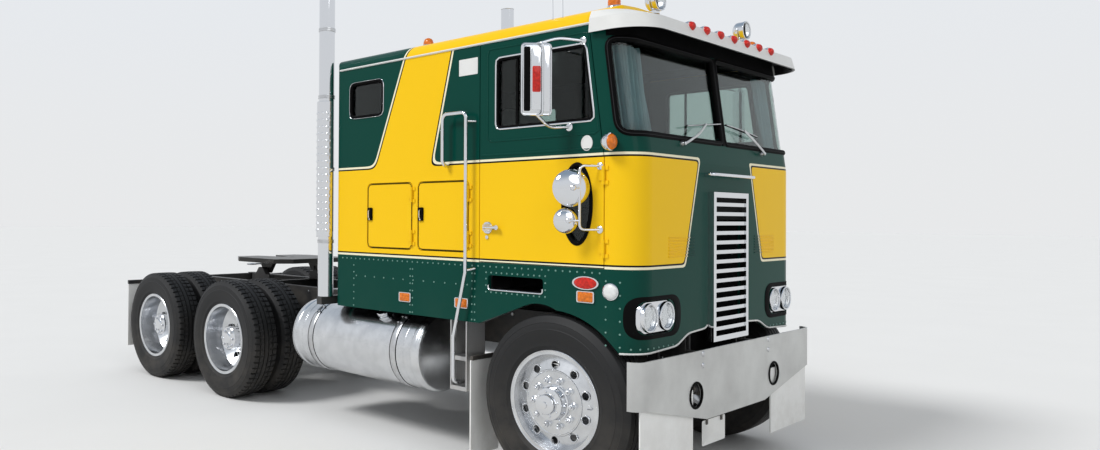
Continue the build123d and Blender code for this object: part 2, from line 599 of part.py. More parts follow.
side_rail = joined([long_rail] + rail_feet) - cab_upper(0, LOW_Z, DRIP_Z) - cab_column(0, SKIRT_Z, LOW_Z)
keep("grab_rails", *(pair([side_rail]) + [front_rail]))

# Entry steps hung under the skirts, ahead of the tanks
STEP_X = (-850, -700)
STEP_Y = (SIDE_OUT - 10, SIDE_OUT + 180)
STEP_Z = (500, 705)
STEP_T = 28
step_plates = [block(x, x + 10, STEP_Y[0], STEP_Y[1], STEP_Z[0], SKIRT_Z) for x in (STEP_X[0], STEP_X[1] - 10)]
step_treads = [block(STEP_X[0], STEP_X[1], STEP_Y[0], STEP_Y[1], z, z + STEP_T) for z in STEP_Z]
keep("entry_steps", *pair([joined(step_plates + step_treads)]))

# Seats, bunk mattress, dashboard and steering wheel
seat_parts = []
for side in (-1, 1):
    y0, y1 = side * SEAT_Y - SEAT_HALF, side * SEAT_Y + SEAT_HALF
    cushion = block(SEAT_X[0], SEAT_X[1], y0, y1, SEAT_LOW + FACE_GAP, SEAT_HIGH)
    back_foot = SEAT_X[0] - 2 - SEAT_BACK_T
    back_rest = side_prism([(back_foot, SEAT_HIGH - 40), (SEAT_X[0] - 2, SEAT_HIGH - 40), (back_foot, SEAT_BACK_HIGH),
                            (back_foot - SEAT_RAKE, SEAT_BACK_HIGH)], y0, y1)
    seat_parts += [fillet(cushion.edges(), 25), fillet(back_rest.edges(), 25)]
seat_links = [block(SEAT_X[0] - 60, SEAT_X[0] + 60, side * SEAT_Y - 150, side * SEAT_Y + 150, SEAT_LOW + 40,
                    SEAT_HIGH - 20)
              for side in (-1, 1)]
keep("seats", *[seat_parts[2 * i] + seat_parts[2 * i + 1] + seat_links[i] for i in (0, 1)])
mattress = block(CAB_BACK + WALL + 8, BUNK_FRONT - 430, -inner_y + 12, inner_y - 12,
                 BUNK_SHELF_Z + 20 + FACE_GAP, BUNK_SHELF_Z + 20 + MATTRESS_T)
keep("bunk", fillet(mattress.edges(), 30))
dash = side_prism([(CAB_FRONT - WALL, 1760), (CAB_FRONT - WALL, 2040), (470, 2110), (330, 2085), (290, 2010),
                   (320, 1900), (380, 1760)], -CAB_HALF + 160, CAB_HALF - 160)
dash &= cab_upper(WALL, LOW_Z, DRIP_Z)
dash += block(390, CAB_FRONT - WALL, -300, 300, TUNNEL_TOP + TUNNEL_WALL, 1765)
keep("dashboard", dash)
STEERING_AT, STEERING_R, STEERING_GRIP_R, COLUMN_R = (60, 660, 2070), 230, 14, 22
wheel_at = Plane(origin=STEERING_AT, z_dir=(-0.5, 0, 0.866))
column = rod(STEERING_AT, (STEERING_AT[0] + 270, STEERING_AT[1], STEERING_AT[2] - 95), COLUMN_R)
rim = wheel_at * Torus(STEERING_R, STEERING_GRIP_R)
spokes = [wheel_at * (Rot(0, 0, turn) * Pos(STEERING_R / 2, 0, 0) * Box(STEERING_R, 26, 10)) for turn in (0, 120, 240)]
hub = wheel_at * Cylinder(45, 40)
wheel = joined([hub, rim] + spokes + [column])
keep("steering_wheel", wheel - dash)

# Ladder frame: channel rails, cross members and the brackets on them
rail = block(RAIL_BACK, RAIL_FRONT, -RAIL_OUT_Y, -RAIL_OUT_Y + RAIL_W, RAIL_LOW, RAIL_HIGH)
rail -= block(RAIL_BACK, RAIL_FRONT, -RAIL_OUT_Y + RAIL_WALL, -RAIL_OUT_Y + RAIL_W, RAIL_LOW + RAIL_WALL,
              RAIL_HIGH - RAIL_WALL)
frame = [rail, other_side(rail)]
for x, low, high in CROSS_MEMBERS:
    frame.append(block(x - CROSS_HALF, x + CROSS_HALF, -RAIL_OUT_Y + RAIL_WALL, RAIL_OUT_Y - RAIL_WALL, low, high))
frame.append(block(RAIL_FRONT - 2 * CROSS_HALF, RAIL_FRONT, -RAIL_OUT_Y, RAIL_OUT_Y, RAIL_LOW - 65, RAIL_LOW))
right = []
# Pivot brackets of the cab, bumper brackets, and stands under the back of the cab
arm_face = ARM_Y - ARM_T / 2
right.append(side_prism([(PIVOT_X - 30, PIVOT_Z - 40), (PIVOT_X + 30, PIVOT_Z - 40), (PIVOT_X + 30, PIVOT_Z + 40),
                         (RAIL_FRONT, 800), (440, 800), (440, 740)], -arm_face + 5, -arm_face + 25))
right.append(block(440, RAIL_FRONT, -arm_face + 5, -RAIL_OUT_Y, 740, 800))
right.append(across(PIVOT_X, PIVOT_Z, PIVOT_R, -ARM_Y - ARM_T / 2 - 16, -arm_face + 10))
right.append(across(PIVOT_X, PIVOT_Z, PIVOT_R + 12, -ARM_Y - ARM_T / 2 - 16, -ARM_Y - ARM_T / 2 - 2))
right.append(block(RAIL_FRONT - 60, BUMPER_FRONT - BUMPER_T, -RAIL_OUT_Y + 5, -RAIL_OUT_Y + 60, 760, 850))
right.append(block(-2010, -1890, -RAIL_OUT_Y, -RAIL_OUT_Y + RAIL_W, RAIL_HIGH, LOW_Z - FLOOR_T - FACE_GAP))
# Spring hangers
for x in (505, -640):
    right.append(block(x - 30, x + 30, -RAIL_OUT_Y, -RAIL_OUT_Y + RAIL_W, 640, RAIL_LOW))
# Tank brackets, flap arms and stack brackets
for x in (TANK_FRONT - 260, TANK_FRONT - TANK_L + 260):
    right.append(side_prism([(x - 35, 600), (x + 35, 600), (x + 35, 900), (x - 35, 900)], -TANK_Y, -RAIL_OUT_Y)
                 - forward(-TANK_Y, TANK_Z, TANK_R + FACE_GAP, x - 40, x + 40))
right.append(block(-670, -645, -1130, -RAIL_OUT_Y, 718, 745))
right.append(block(TAIL_X + 20, TAIL_X + 50, -1200, -RAIL_OUT_Y + RAIL_W, 930, 970))
right.append(block(STACK_X - 30, STACK_X + 30, -STACK_Y - STACK_R, -RAIL_OUT_Y, STACK_LOW - 64, STACK_LOW))
# Trunnion brackets of the bogie
right.append(block(BOGIE_X - 130, BOGIE_X + 130, -540, -RAIL_OUT_Y, 470, 900))
frame += pair(right)
keep("frame", joined(frame))

# Engine as one plain block, with the radiator ahead and the gearbox behind
ENGINE_X, ENGINE_HALF, ENGINE_Z = (-590, 350), 330, (620, 1430)
RADIATOR_X, RADIATOR_HALF, RADIATOR_Z = (400, 480), 340, (745, 1330)
GEARBOX_BACK, GEARBOX_HALF, GEARBOX_Z = -1150, 200, (700, 1120)
engine = block(*ENGINE_X, -ENGINE_HALF, ENGINE_HALF, *ENGINE_Z)
radiator = block(*RADIATOR_X, -RADIATOR_HALF, RADIATOR_HALF, *RADIATOR_Z)
radiator += block(ENGINE_X[1], RADIATOR_X[0], -80, 80, 900, 1000)
gearbox = block(GEARBOX_BACK, ENGINE_X[0], -GEARBOX_HALF, GEARBOX_HALF, *GEARBOX_Z)
mounts = [block(-300, -200, *sorted((side * (RAIL_OUT_Y - RAIL_WALL), side * ENGINE_HALF)), 800, 860)
          for side in (-1, 1)]
keep("engine", joined([engine, radiator, gearbox] + mounts))

# Axles: the front beam with its kingpin bosses, and the rear housings
front_beam = block(-BEAM_HALF_W, BEAM_HALF_W, -760, 760, 430, 520)
bosses = []
for side in (-1, 1):
    bosses.append(block(-BOSS_R, BOSS_R, *sorted((side * 700, side * KINGPIN_Y)), 490, 590))
    bosses.append(upright(0, side * KINGPIN_Y, BOSS_R, 490, 590))
front_axle = joined([front_beam] + bosses)
for side in (-1, 1):
    front_axle -= upright(0, side * KINGPIN_Y, KINGPIN_R + RUNNING, 480, 600)
rear_axles = []
for axle_x in (BOGIE_X + AXLE_SPREAD / 2, BOGIE_X - AXLE_SPREAD / 2):
    housing = across(axle_x, AXLE_Z, HOUSING_R, -HOUSING_Y, HOUSING_Y)
    spindles = [across(axle_x, AXLE_Z, REAR_SPINDLE_R, *sorted((side * (HOUSING_Y - 5), side * 1095)))
                for side in (-1, 1)]
    bowl = forward(0, AXLE_Z, 190, axle_x - 130, axle_x + 170)
    rear_axles.append(joined([housing, bowl] + spindles))
keep("front_axle", front_axle)
keep("rear_axles", *rear_axles)

# Springs: leaf packs on the front axle, walking beams on the bogie
springs = []
leaf = side_prism([(-655, 640), (-300, 580), (-60, 560), (60, 560), (300, 580), (520, 640), (520, 605), (300, 535),
                   (60, 520), (-60, 520), (-300, 535), (-655, 605)], -RAIL_OUT_Y, -RAIL_OUT_Y + RAIL_W)
springs.append(leaf)
beam_low = AXLE_Z - HOUSING_R - 90
springs.append(block(BOGIE_X - AXLE_SPREAD / 2 - 90, BOGIE_X + AXLE_SPREAD / 2 + 90, -535, -445, beam_low,
                     AXLE_Z - HOUSING_R))
keep("springs", *pair(springs))

# Drive shafts between the gearbox and the two rear axles
shaft_front = rod((GEARBOX_BACK, 0, 900), (BOGIE_X + AXLE_SPREAD / 2 + 170, 0, AXLE_Z + 40), 50)
shaft_back = rod((BOGIE_X + AXLE_SPREAD / 2 - 130, 0, AXLE_Z), (BOGIE_X - AXLE_SPREAD / 2 + 170, 0, AXLE_Z), 50)
keep("drive_shafts", shaft_front - gearbox - rear_axles[0], shaft_back)

# Bumper: a deep plate with rounded ends, its lower edge swept up outwards
bumper = block(565, BUMPER_FRONT, -BUMPER_HALF, BUMPER_HALF, BUMPER_LOW, BUMPER_TOP)
bumper = fillet(bumper.edges().filter_by(Axis.Z).sort_by(Axis.X)[-2:], BUMPER_CORNER_R - 6)
hollow = block(500, BUMPER_FRONT - BUMPER_T, -BUMPER_HALF + BUMPER_T, BUMPER_HALF - BUMPER_T, BUMPER_LOW - 1,
               BUMPER_TOP + 1)
hollow = fillet(hollow.edges().filter_by(Axis.Z).sort_by(Axis.X)[-2:], BUMPER_CORNER_R - 6 - BUMPER_T)
bumper = bumper - hollow
for side in (-1, 1):
    wedge = [(side * 420, BUMPER_LOW - 1), (side * 420, BUMPER_LOW), (side * 1150, BUMPER_END_LOW),
             (side * (BUMPER_HALF + 1), BUMPER_END_LOW), (side * (BUMPER_HALF + 1), BUMPER_LOW - 1)]
    bumper -= cross_prism(wedge, 550, BUMPER_FRONT + 1)
    bumper -= forward(side * TOW_HOLE_Y, TOW_HOLE_Z, TOW_HOLE_R, 600, BUMPER_FRONT + 1)
keep("bumper", bumper)

# Flaps: behind the front wheels, under the bumper and at the tail
FLAP_X, TAIL_FLAP_X, BUMPER_FLAP_X = (-662, -652), (TAIL_X + 30, TAIL_X + 40), (612, 620)
bumper_flap = block(*BUMPER_FLAP_X, -1170, -TOW_HOLE_Y, 190, 640)
bumper_flap += block(BUMPER_FLAP_X[1], BUMPER_FRONT - BUMPER_T, -1100, -700, 612, 640)
flaps = [block(*FLAP_X, SIDE_OUT - 20, -850, 80, 718), bumper_flap, block(*TAIL_FLAP_X, -1200, -620, 260, 930)]
keep("flaps", *pair(flaps))

# Fuel tanks
tank = forward(-TANK_Y, TANK_Z, TANK_R, TANK_FRONT - TANK_L, TANK_FRONT)
tank = fillet(tank.edges(), 22)
keep("fuel_tanks", *pair([tank]))

# Deck plate, stacks and tail lamps
keep("deck_plate", block(DECK_BACK, CAB_BACK - 160, -RAIL_OUT_Y, RAIL_OUT_Y, RAIL_HIGH, RAIL_HIGH + 8))
stack = upright(STACK_X, -STACK_Y, STACK_R, STACK_LOW, STACK_TOP)
stack -= upright(STACK_X, -STACK_Y, STACK_R - STACK_WALL, LOW_Z, STACK_TOP + 1)
keep("stacks", *pair([stack]))
tail_lamps = [forward(-y, 880, 50, TAIL_X, TAIL_X + 20) for y in (390, 520)]
tail_bar = block(TAIL_X + 10, TAIL_X + 20, -600, -330, 820, 940)
keep("tail_lamps", *pair([joined(tail_lamps + [tail_bar, block(TAIL_X + 20, RAIL_BACK - 10, -420, -400, 840, 920)])]))

# Fifth wheel: brackets with a pin on the frame, and the plate that rocks on them
stand = block(FIFTH_X - 150, FIFTH_X + 150, -410, -350, RAIL_HIGH, FIFTH_PIVOT_Z - 40)
stand += side_prism([(FIFTH_X - 90, FIFTH_PIVOT_Z - 40), (FIFTH_X + 90, FIFTH_PIVOT_Z - 40),
                     (FIFTH_X + 32, FIFTH_PIVOT_Z + 30), (FIFTH_X - 32, FIFTH_PIVOT_Z + 30)], -410, -350)
stand += across(FIFTH_X, FIFTH_PIVOT_Z, FIFTH_PIN_R, -410, -280)
keep("fifth_wheel_stands", *pair([stand]))
plan = make_face(Polyline((FIFTH_X + 420, -300, 0), (FIFTH_X + 420, 300, 0), (FIFTH_X + 300, 457, 0),
                                  (FIFTH_X - 330, 457, 0), (FIFTH_X - 470, 380, 0), (FIFTH_X - 470, 120, 0),
                                  (FIFTH_X - 120, 34, 0), (FIFTH_X - 120, -34, 0), (FIFTH_X - 470, -120, 0),
                                  (FIFTH_X - 470, -380, 0), (FIFTH_X - 330, -457, 0), (FIFTH_X + 300, -457, 0),
                                  close=True))
plate = extrude(Pos(0, 0, FIFTH_TOP - FIFTH_T) * plan, FIFTH_T)
plate -= upright(FIFTH_X, 0, KINGPIN_BORE_R, FIFTH_TOP - FIFTH_T - 1, FIFTH_TOP + 1)
for side in (-1, 1):
    y0, y1 = sorted((side * 290, side * 335))
    lug = side_prism([(FIFTH_X - 120, FIFTH_TOP - FIFTH_T), (FIFTH_X - 40, FIFTH_PIVOT_Z - 30),
                      (FIFTH_X + 40, FIFTH_PIVOT_Z - 30), (FIFTH_X + 120, FIFTH_TOP - FIFTH_T)], y0, y1)
    plate += lug - across(FIFTH_X, FIFTH_PIVOT_Z, FIFTH_PIN_R + RUNNING, y0 - 1, y1 + 1)
keep("fifth_wheel_plate", plate)

# Steering knuckles: two ears on the kingpin, a web and the spindle
ear_gap = 2
knuckle = upright(0, -KINGPIN_Y, EAR_R, 430, 490 - ear_gap) + upright(0, -KINGPIN_Y, EAR_R, 590 + ear_gap, 650)
knuckle += upright(0, -KINGPIN_Y, KINGPIN_R, 425, 655)
for low, high in ((430, 490 - ear_gap), (590 + ear_gap, 650)):
    knuckle += block(-EAR_R, EAR_R, -925, -KINGPIN_Y, low, high)
knuckle += block(-EAR_R, EAR_R, -925, -899, 430, 650)
knuckle += across(0, AXLE_Z, SPINDLE_R, -1120, -920)
knuckle += block(-230, -30, -870, -830, 432, 470)
keep("knuckle_right", knuckle)
keep("knuckle_left", other_side(knuckle))


# Wheels: distances along Y are measured outwards from the tyre's middle


def tyre(middle, outward):
    half, tread = TYRE_W / 2, TREAD_W / 2
    profile = [(BEAD_R, -half + 36), (BULGE_R, -half), (TYRE_R, -tread), (TYRE_R, tread), (BULGE_R, half),
               (BEAD_R, half - 36)]
    return turned([(r, outward * o) for r, o in profile], middle)


def rim(middle, outward):
    half, seat = RIM_W / 2, BEAD_R - FACE_GAP
    profile = [(seat - RIM_WALL, -half), (RIM_FLANGE_R, -half), (RIM_FLANGE_R, -half + FLANGE_T),
               (seat, -half + FLANGE_T), (seat, half - FLANGE_T), (RIM_FLANGE_R, half - FLANGE_T),
               (RIM_FLANGE_R, half), (seat - RIM_WALL, half)]
    return turned([(r, outward * o) for r, o in profile], middle)


def disc(middle, outward, at_rim, at_bolts):
    """The wheel disc, from the rim's barrel in to the bolt face, with its hand holes."""
    edge = BEAD_R - FACE_GAP - RIM_WALL + 1
    slope = [(edge, at_rim), (BOLT_FACE_R + 30, at_bolts), (HUB_R - 5, at_bolts), (HUB_R - 5, at_bolts - DISC_T),
             (BOLT_FACE_R + 26, at_bolts - DISC_T), (edge, at_rim - DISC_T)]
    plate = turned([(r, outward * o) for r, o in slope], middle)
    for i in range(HAND_HOLES):
        a = 2 * math.pi * (i + 0.5) / HAND_HOLES
        plate -= across(HAND_HOLE_CIRCLE * math.cos(a), HAND_HOLE_CIRCLE * math.sin(a), HAND_HOLE_R,
                        middle - 150, middle + 150)
    return plate


def hub(bore_r, inner, outer, bore_end):
    """The hub and the brake drum, with a blind bore for the spindle; the right side is at -Y."""
    body = turned([(0, -inner), (HUB_R, -inner), (HUB_R, -outer + 30), (HUB_R - 40, -outer), (0, -outer)])
    body += turned([(HUB_R - 5, -inner), (DRUM_R, -inner), (DRUM_R, -inner + 100), (DRUM_R - DRUM_WALL, -inner + 100),
                    (DRUM_R - DRUM_WALL, -inner - DRUM_WALL + 30), (HUB_R - 5, -inner - DRUM_WALL + 30)])
    return body - turned([(0, -inner + 150), (bore_r, -inner + 150), (bore_r, -bore_end), (0, -bore_end)])


front_tyre = tyre(-FRONT_Y, -1)
front_wheel = joined([rim(-FRONT_Y, -1), disc(-FRONT_Y, -1, 66, 104), hub(SPINDLE_R + RUNNING, 990, 1172, 1126)])
twin_tyres = [tyre(-y, -1) for y in (TWIN_OUTER_Y, TWIN_INNER_Y)]
twin_face = (TWIN_OUTER_Y + TWIN_INNER_Y) / 2
twin_wheels = joined([rim(-TWIN_OUTER_Y, -1), rim(-TWIN_INNER_Y, -1),
                      disc(-TWIN_OUTER_Y, -1, -60, twin_face + DISC_T - TWIN_OUTER_Y),
                      disc(-TWIN_INNER_Y, -1, 60 + DISC_T, twin_face - TWIN_INNER_Y),
                      hub(REAR_SPINDLE_R + RUNNING, 740, 1150, 1101)])
for side, flip in (("right", False), ("left", True)):
    finish = other_side if flip else (lambda shape: shape)
    keep("front_tyre_" + side, finish(Pos(0, 0, AXLE_Z) * front_tyre))
    keep("front_wheel_" + side, finish(Pos(0, 0, AXLE_Z) * front_wheel))
    for axle, axle_x in (("drive", BOGIE_X + AXLE_SPREAD / 2), ("rear", BOGIE_X - AXLE_SPREAD / 2)):
        place = Pos(axle_x, 0, AXLE_Z)
        keep(axle + "_tyres_" + side, *[finish(place * piece) for piece in twin_tyres])
        keep(axle + "_wheels_" + side, finish(place * twin_wheels))

os.makedirs("parts", exist_ok=True)
for name, shape in nodes.items():
    export_step(Pos(ORIGIN_SHIFT, 0, 0) * shape, "parts/" + name + ".step")
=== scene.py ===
import math

import bmesh
import bpy
import numpy as np
from mathutils import Matrix, Vector


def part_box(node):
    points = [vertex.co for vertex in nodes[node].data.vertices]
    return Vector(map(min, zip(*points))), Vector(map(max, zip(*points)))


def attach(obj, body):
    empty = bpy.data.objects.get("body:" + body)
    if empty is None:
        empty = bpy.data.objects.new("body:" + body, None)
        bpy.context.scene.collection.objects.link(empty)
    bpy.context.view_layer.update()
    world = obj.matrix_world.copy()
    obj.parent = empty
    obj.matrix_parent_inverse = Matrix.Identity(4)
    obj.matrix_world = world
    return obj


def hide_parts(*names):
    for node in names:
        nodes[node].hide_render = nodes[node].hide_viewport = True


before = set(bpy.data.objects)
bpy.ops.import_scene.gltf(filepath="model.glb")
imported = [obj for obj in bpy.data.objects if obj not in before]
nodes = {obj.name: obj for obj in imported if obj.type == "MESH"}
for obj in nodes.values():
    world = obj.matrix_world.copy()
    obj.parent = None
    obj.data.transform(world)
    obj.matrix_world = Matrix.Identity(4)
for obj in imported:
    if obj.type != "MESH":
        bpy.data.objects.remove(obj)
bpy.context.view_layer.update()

# Places taken from the frame, in metres: X runs forward, Y to the left, Z up


def low(node):
    return np.array(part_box(node)[0])


def high(node):
    return np.array(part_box(node)[1])


def middle(node):
    return (low(node) + high(node)) / 2


FRONT_AXLE, _, WHEEL_Z = middle("front_tyre_right")
DRIVE_AXLE, REAR_AXLE = middle("drive_tyres_right")[0], middle("rear_tyres_right")[0]
CAB_SIDE, ROOF_TOP = high("cab_roof")[1:]
CAB_BACK, CAB_FRONT = low("cab_back")[0], low("grille")[0]
CAB_TAIL = CAB_BACK - FRONT_AXLE
LOW_LINE, DRIP = low("cab_sides")[2], high("cab_sides")[2]
BELT, LEAN = 2.030, math.tan(math.radians(7.7))
CORNER, WALL_DEPTH, ROOF_EDGE = 0.18, 0.030, DRIP - 0.004
FLAT, QUARTER = CAB_SIDE - CORNER, CORNER * math.pi / 2
SIDES = (("right", -1), ("left", 1))
SIDE_WAY, BACK_WAY = np.array((0, -1.0, 0)), np.array((-1.0, 0, 0))


def at(x, y, z):
    """A place whose x is counted from the front axle."""
    return np.array((FRONT_AXLE + x, y, z), float)


def wall(x, z, out=0.0):
    """A place on the cab's right side, or that far outside it."""
    return at(x, -CAB_SIDE - out, z)


def front_at(z):
    """Where the cab's front face is at height z: upright to the belt, then leaning back."""
    return CAB_FRONT - np.maximum(0, z - BELT) * LEAN


def on_skin(s, z, out=0.0):
    """The right half of the cab's skin: s runs from the middle line straight to the corner, round it and back."""
    s, z = np.asarray(s, float), np.asarray(z, float)
    turn = np.clip((s - FLAT) / CORNER, 0, math.pi / 2)
    back = np.maximum(0, s - FLAT - QUARTER)
    x = front_at(z) - CORNER + (CORNER + out) * np.cos(turn) - back
    y = -(np.minimum(s, FLAT) + (CORNER + out) * np.sin(turn))
    return np.stack([x, y, z + 0 * s], -1), np.stack([np.cos(turn), -np.sin(turn), 0 * turn], -1)


def on_side(outline, inward=0.0):
    """An outline of (x from the front axle, z) set on the right side of the cab."""
    x, z = np.asarray(outline, float).T
    return np.stack([FRONT_AXLE + x, 0 * x - CAB_SIDE + inward, z], 1)


# Shapes: each is a pair of arrays, the points and the four-cornered faces


def grid_shape(grid, close_rows=False, close_columns=False):
    """A surface of rows by columns points: each face joins four neighbours of the grid."""
    grid = np.asarray(grid, float)
    rows, columns = grid.shape[:2]
    i, j = np.arange(rows if close_rows else rows - 1), np.arange(columns if close_columns else columns - 1)
    i, j = np.meshgrid(i, j, indexing="ij")
    i2, j2 = (i + 1) % rows, (j + 1) % columns
    faces = np.stack([i * columns + j, i2 * columns + j, i2 * columns + j2, i * columns + j2], -1)
    return grid.reshape(-1, 3), faces.reshape(-1, 4)


def together(shapes):
    """All the shapes as one: points stacked, and each shape's faces moved on by the points before."""
    starts = np.cumsum([0] + [len(points) for points, _ in shapes[:-1]])
    faces = [faces + start for (_, faces), start in zip(shapes, starts)]
    return np.concatenate([points for points, _ in shapes]), np.concatenate(faces)


def moved(shape, place, turn=np.eye(3)):
    """The shape turned by a matrix, then set down at a place."""
    return shape[0] @ np.array(turn).T + np.asarray(place, float), shape[1]


def copies(shape, places):
    return together([moved(shape, place) for place in places])


def mirrored(shape):
    """The shape on the truck's other side: y becomes minus y, and the faces turn over."""
    return shape[0] * (1, -1, 1), shape[1][:, ::-1]


def pair(shape):
    return together([shape, mirrored(shape)])


def unit(vectors):
    return vectors / np.linalg.norm(vectors, axis=-1, keepdims=True)


def facing(shape, place, way, up=(0, 0, 1)):
    """A shape drawn in x and y, raised along z, set at a place so that z points the given way and y points up."""
    z = unit(np.array(way, float))
    x = unit(np.cross(up, z))
    return moved(shape, place, np.stack([x, np.cross(z, x), z], 1))


def turned(profile, segments=48, axis="x", place=(0, 0, 0), start=0.0, sweep=2 * math.pi):
    """A profile of (radius, distance along the axis) carried round it: radius times cos t and sin t."""
    r, h = np.asarray(profile, float).T
    whole = sweep > 2 * math.pi - 1e-6
    t = start + np.linspace(0, sweep, segments, endpoint=not whole)[:, None]
    c, s, o = r * np.cos(t), r * np.sin(t), h + 0 * t
    order = {"y": (c, o, s), "x": (o, c, s), "z": (c, s, o)}[axis]
    return moved(grid_shape(np.stack(order, -1), close_rows=whole), place)


def boss(profile, segments, place=(0, 0, 0)):
    """A turned form of the right side: its profile gives distances outwards, which is towards minus y."""
    return turned([(r, -out) for r, out in profile], segments, "y", place)


def button(radius, foot, shoulder, end_radius, end):
    """The profile of a round foot or knob: straight to its shoulder, then drawn in to its flat end."""
    return [(0, foot), (radius, foot), (radius, shoulder), (end_radius, end), (0, end)]


def nut(radius, height, axis="y", sign=-1):
    """A six-sided prism with its outer corners eased."""
    end = sign * height
    return turned(button(radius, 0, 0.8 * end, 0.88 * radius, end), 6, axis)


def rounded(corners, radius, steps=7, closed=True):
    """A path round each corner b by the curve (1-t)^2 a + 2t(1-t) b + t^2 c, whose ends are a radius away."""
    corners = np.asarray(corners, float)
    trios = list(zip(np.roll(corners, 1, 0), corners, np.roll(corners, -1, 0)))
    trios = trios if closed else trios[1:-1]
    t = np.linspace(0, 1, steps)[:, None]
    runs = []
    for (a, b, c), r in zip(trios, np.broadcast_to(radius, len(trios))):
        enter, leave = (b + unit(p - b) * min(r, 0.49 * np.linalg.norm(p - b)) for p in (a, c))
        runs.append((1 - t) ** 2 * enter + 2 * t * (1 - t) * b + t ** 2 * leave)
    return np.concatenate(runs if closed else [corners[:1], *runs, corners[-1:]])


def dense(path, step, closed=False):
    """The path again, with points evenly spread along it by interpolation of its length."""
    path = np.asarray(path, float)
    path = np.concatenate([path, path[:1]]) if closed else path
    length = np.concatenate([[0], np.cumsum(np.linalg.norm(np.diff(path, axis=0), axis=1))])
    where = np.linspace(0, length[-1], max(2, math.ceil(length[-1] / step)) + 1)
    out = np.stack([np.interp(where, length, column) for column in path.T], 1)
    return out[:-1] if closed else out


def rectangle(u0, u1, v0, v1):
    return [(u0, v0), (u1, v0), (u1, v1), (u0, v1)]


def oval(half_width, half_height, count=36):
    t = np.linspace(0, 2 * math.pi, count, endpoint=False)
    return np.stack([half_width * np.cos(t), half_height * np.sin(t)], 1)


def grown(outline, by):
    """An outline whose points move out from its middle by a fixed amount each way."""
    outline = np.asarray(outline, float)
    return outline + np.sign(outline - outline.mean(0)) * by


def raised(outline, heights, ring=False):
    """Rings of an outline, drawn in about its middle by each scale and raised by each height: a plate or a band."""
    outline = np.asarray(outline, float)
    centre = outline.mean(0)
    rings = [np.c_[centre + (outline - centre) * scale, np.full(len(outline), lift)] for scale, lift in heights]
    return grid_shape(rings, close_rows=ring, close_columns=True)


def heading(path, closed=False):
    return unit(np.roll(path, -1, 0) - np.roll(path, 1, 0) if closed else np.gradient(path, axis=0))


def carried(path, across, out, section, closed=False):
    """A section of (u, v) carried along a path, as path + u across + v out, with open ends closed to a point."""
    ring = np.stack([path + u * across + v * out for u, v in section], 1)
    if not closed:
        first, last = (np.repeat(path[i][None, None], len(section), 1) for i in (0, -1))
        ring = np.concatenate([first, ring, last])
    return grid_shape(ring, close_rows=closed, close_columns=True)


def tube(path, radius, sides=12, closed=False):
    """A round bar along a path: radius times cos t across and sin t the other way, carried on without twist."""
    path = np.asarray(path, float)
    ahead, across = heading(path, closed), np.empty_like(path)
    seed = np.eye(3)[np.argmin(np.abs(ahead[0]))]
    for i, direction in enumerate(ahead):
        across[i] = seed = unit(seed - direction * (seed @ direction))
    r = np.broadcast_to(radius, len(path))[:, None]
    return carried(path, r * across, r * np.cross(ahead, across), oval(1, 1, sides), closed)


def rod(corners, bend, radius, sides=12, steps=6):
    return tube(rounded(corners, bend, steps, closed=False), radius, sides)


def strip(path, up, width, thick):
    """A flat bar with eased edges along a path: its width along the up direction, its thickness across that."""
    path, up = np.asarray(path, float), np.asarray(up, float)
    w, h = width / 2, thick / 2
    b = min(w, h) * 0.5
    section = [(-w, -h + b), (-w + b, -h), (w - b, -h), (w, -h + b), (w, h - b), (w - b, h), (-w + b, h), (-w, h - b)]
    return carried(path, up, unit(np.cross(heading(path), up)), section)


def bead(path, out, width, height, closed=False, root=0.002):
    """A raised strip along a path on a surface: across it the height is that of half an ellipse."""
    path, out = np.asarray(path, float), np.asarray(out, float)
    w, a = width / 2, np.linspace(0, math.pi, 7)
    section = [(-w, -root)] + [(-w * math.cos(t), height * math.sin(t)) for t in a] + [(w, -root)]
    return carried(path, unit(np.cross(heading(path, closed), out)), out, section, closed)


def side_bead(outline, radius, width, height, step=0.03, root=0.002):
    """A raised strip round an outline of (x from the front axle, z) on the cab's right side."""
    path = on_side(dense(rounded(outline, radius), step, closed=True))
    return bead(path, SIDE_WAY, width, height, closed=True, root=root)


def skin_bead(outline, width, height, out=0.0, step=0.02, closed=True, root=0.002):
    """A raised strip along an outline of (s, z) laid on the cab's skin."""
    place, way = on_skin(*dense(outline, step, closed).T, out)
    return bead(place, way, width, height, closed, root)


def slab(lowest, highest, bevel=0.002):
    """A box with rounded edges: nested rectangles with cut corners, drawn in by the bevel at both ends."""
    lowest, highest = np.minimum(lowest, highest), np.maximum(lowest, highest)
    half, centre = (highest - lowest) / 2, (highest + lowest) / 2
    b = min(bevel, 0.49 * half.min())
    rings = []
    for keep, inset, z in ((0, 0, -half[2]), (1, b, -half[2]), (1, 0, b - half[2]),
                           (1, 0, half[2] - b), (1, b, half[2]), (0, 0, half[2])):
        hx, hy = half[:2] - inset
        c = b * (0.3 if inset else 0.6)
        corner = [(hx - c, -hy), (hx, -hy + c), (hx, hy - c), (hx - c, hy)]
        rings.append([(way * keep * x, way * keep * y, z) for way in (1, -1) for x, y in corner])
    return moved(grid_shape(rings, close_columns=True), centre)


def domes_at(places, out, radius, height, segments=8):
    """Rivet heads: a low dome at each place, facing the given way."""
    head = turned([(radius, -0.001), (radius, 0), (0.72 * radius, 0.7 * height), (0, height)], segments, "z")
    ways = np.broadcast_to(np.asarray(out, float), np.shape(places))
    return together([moved(head, place, Vector(way).to_track_quat("Z", "Y").to_matrix())
                     for place, way in zip(places, ways)])


def placed(name, data):
    thing = bpy.data.objects.new(name, data)
    bpy.context.scene.collection.objects.link(thing)
    return thing


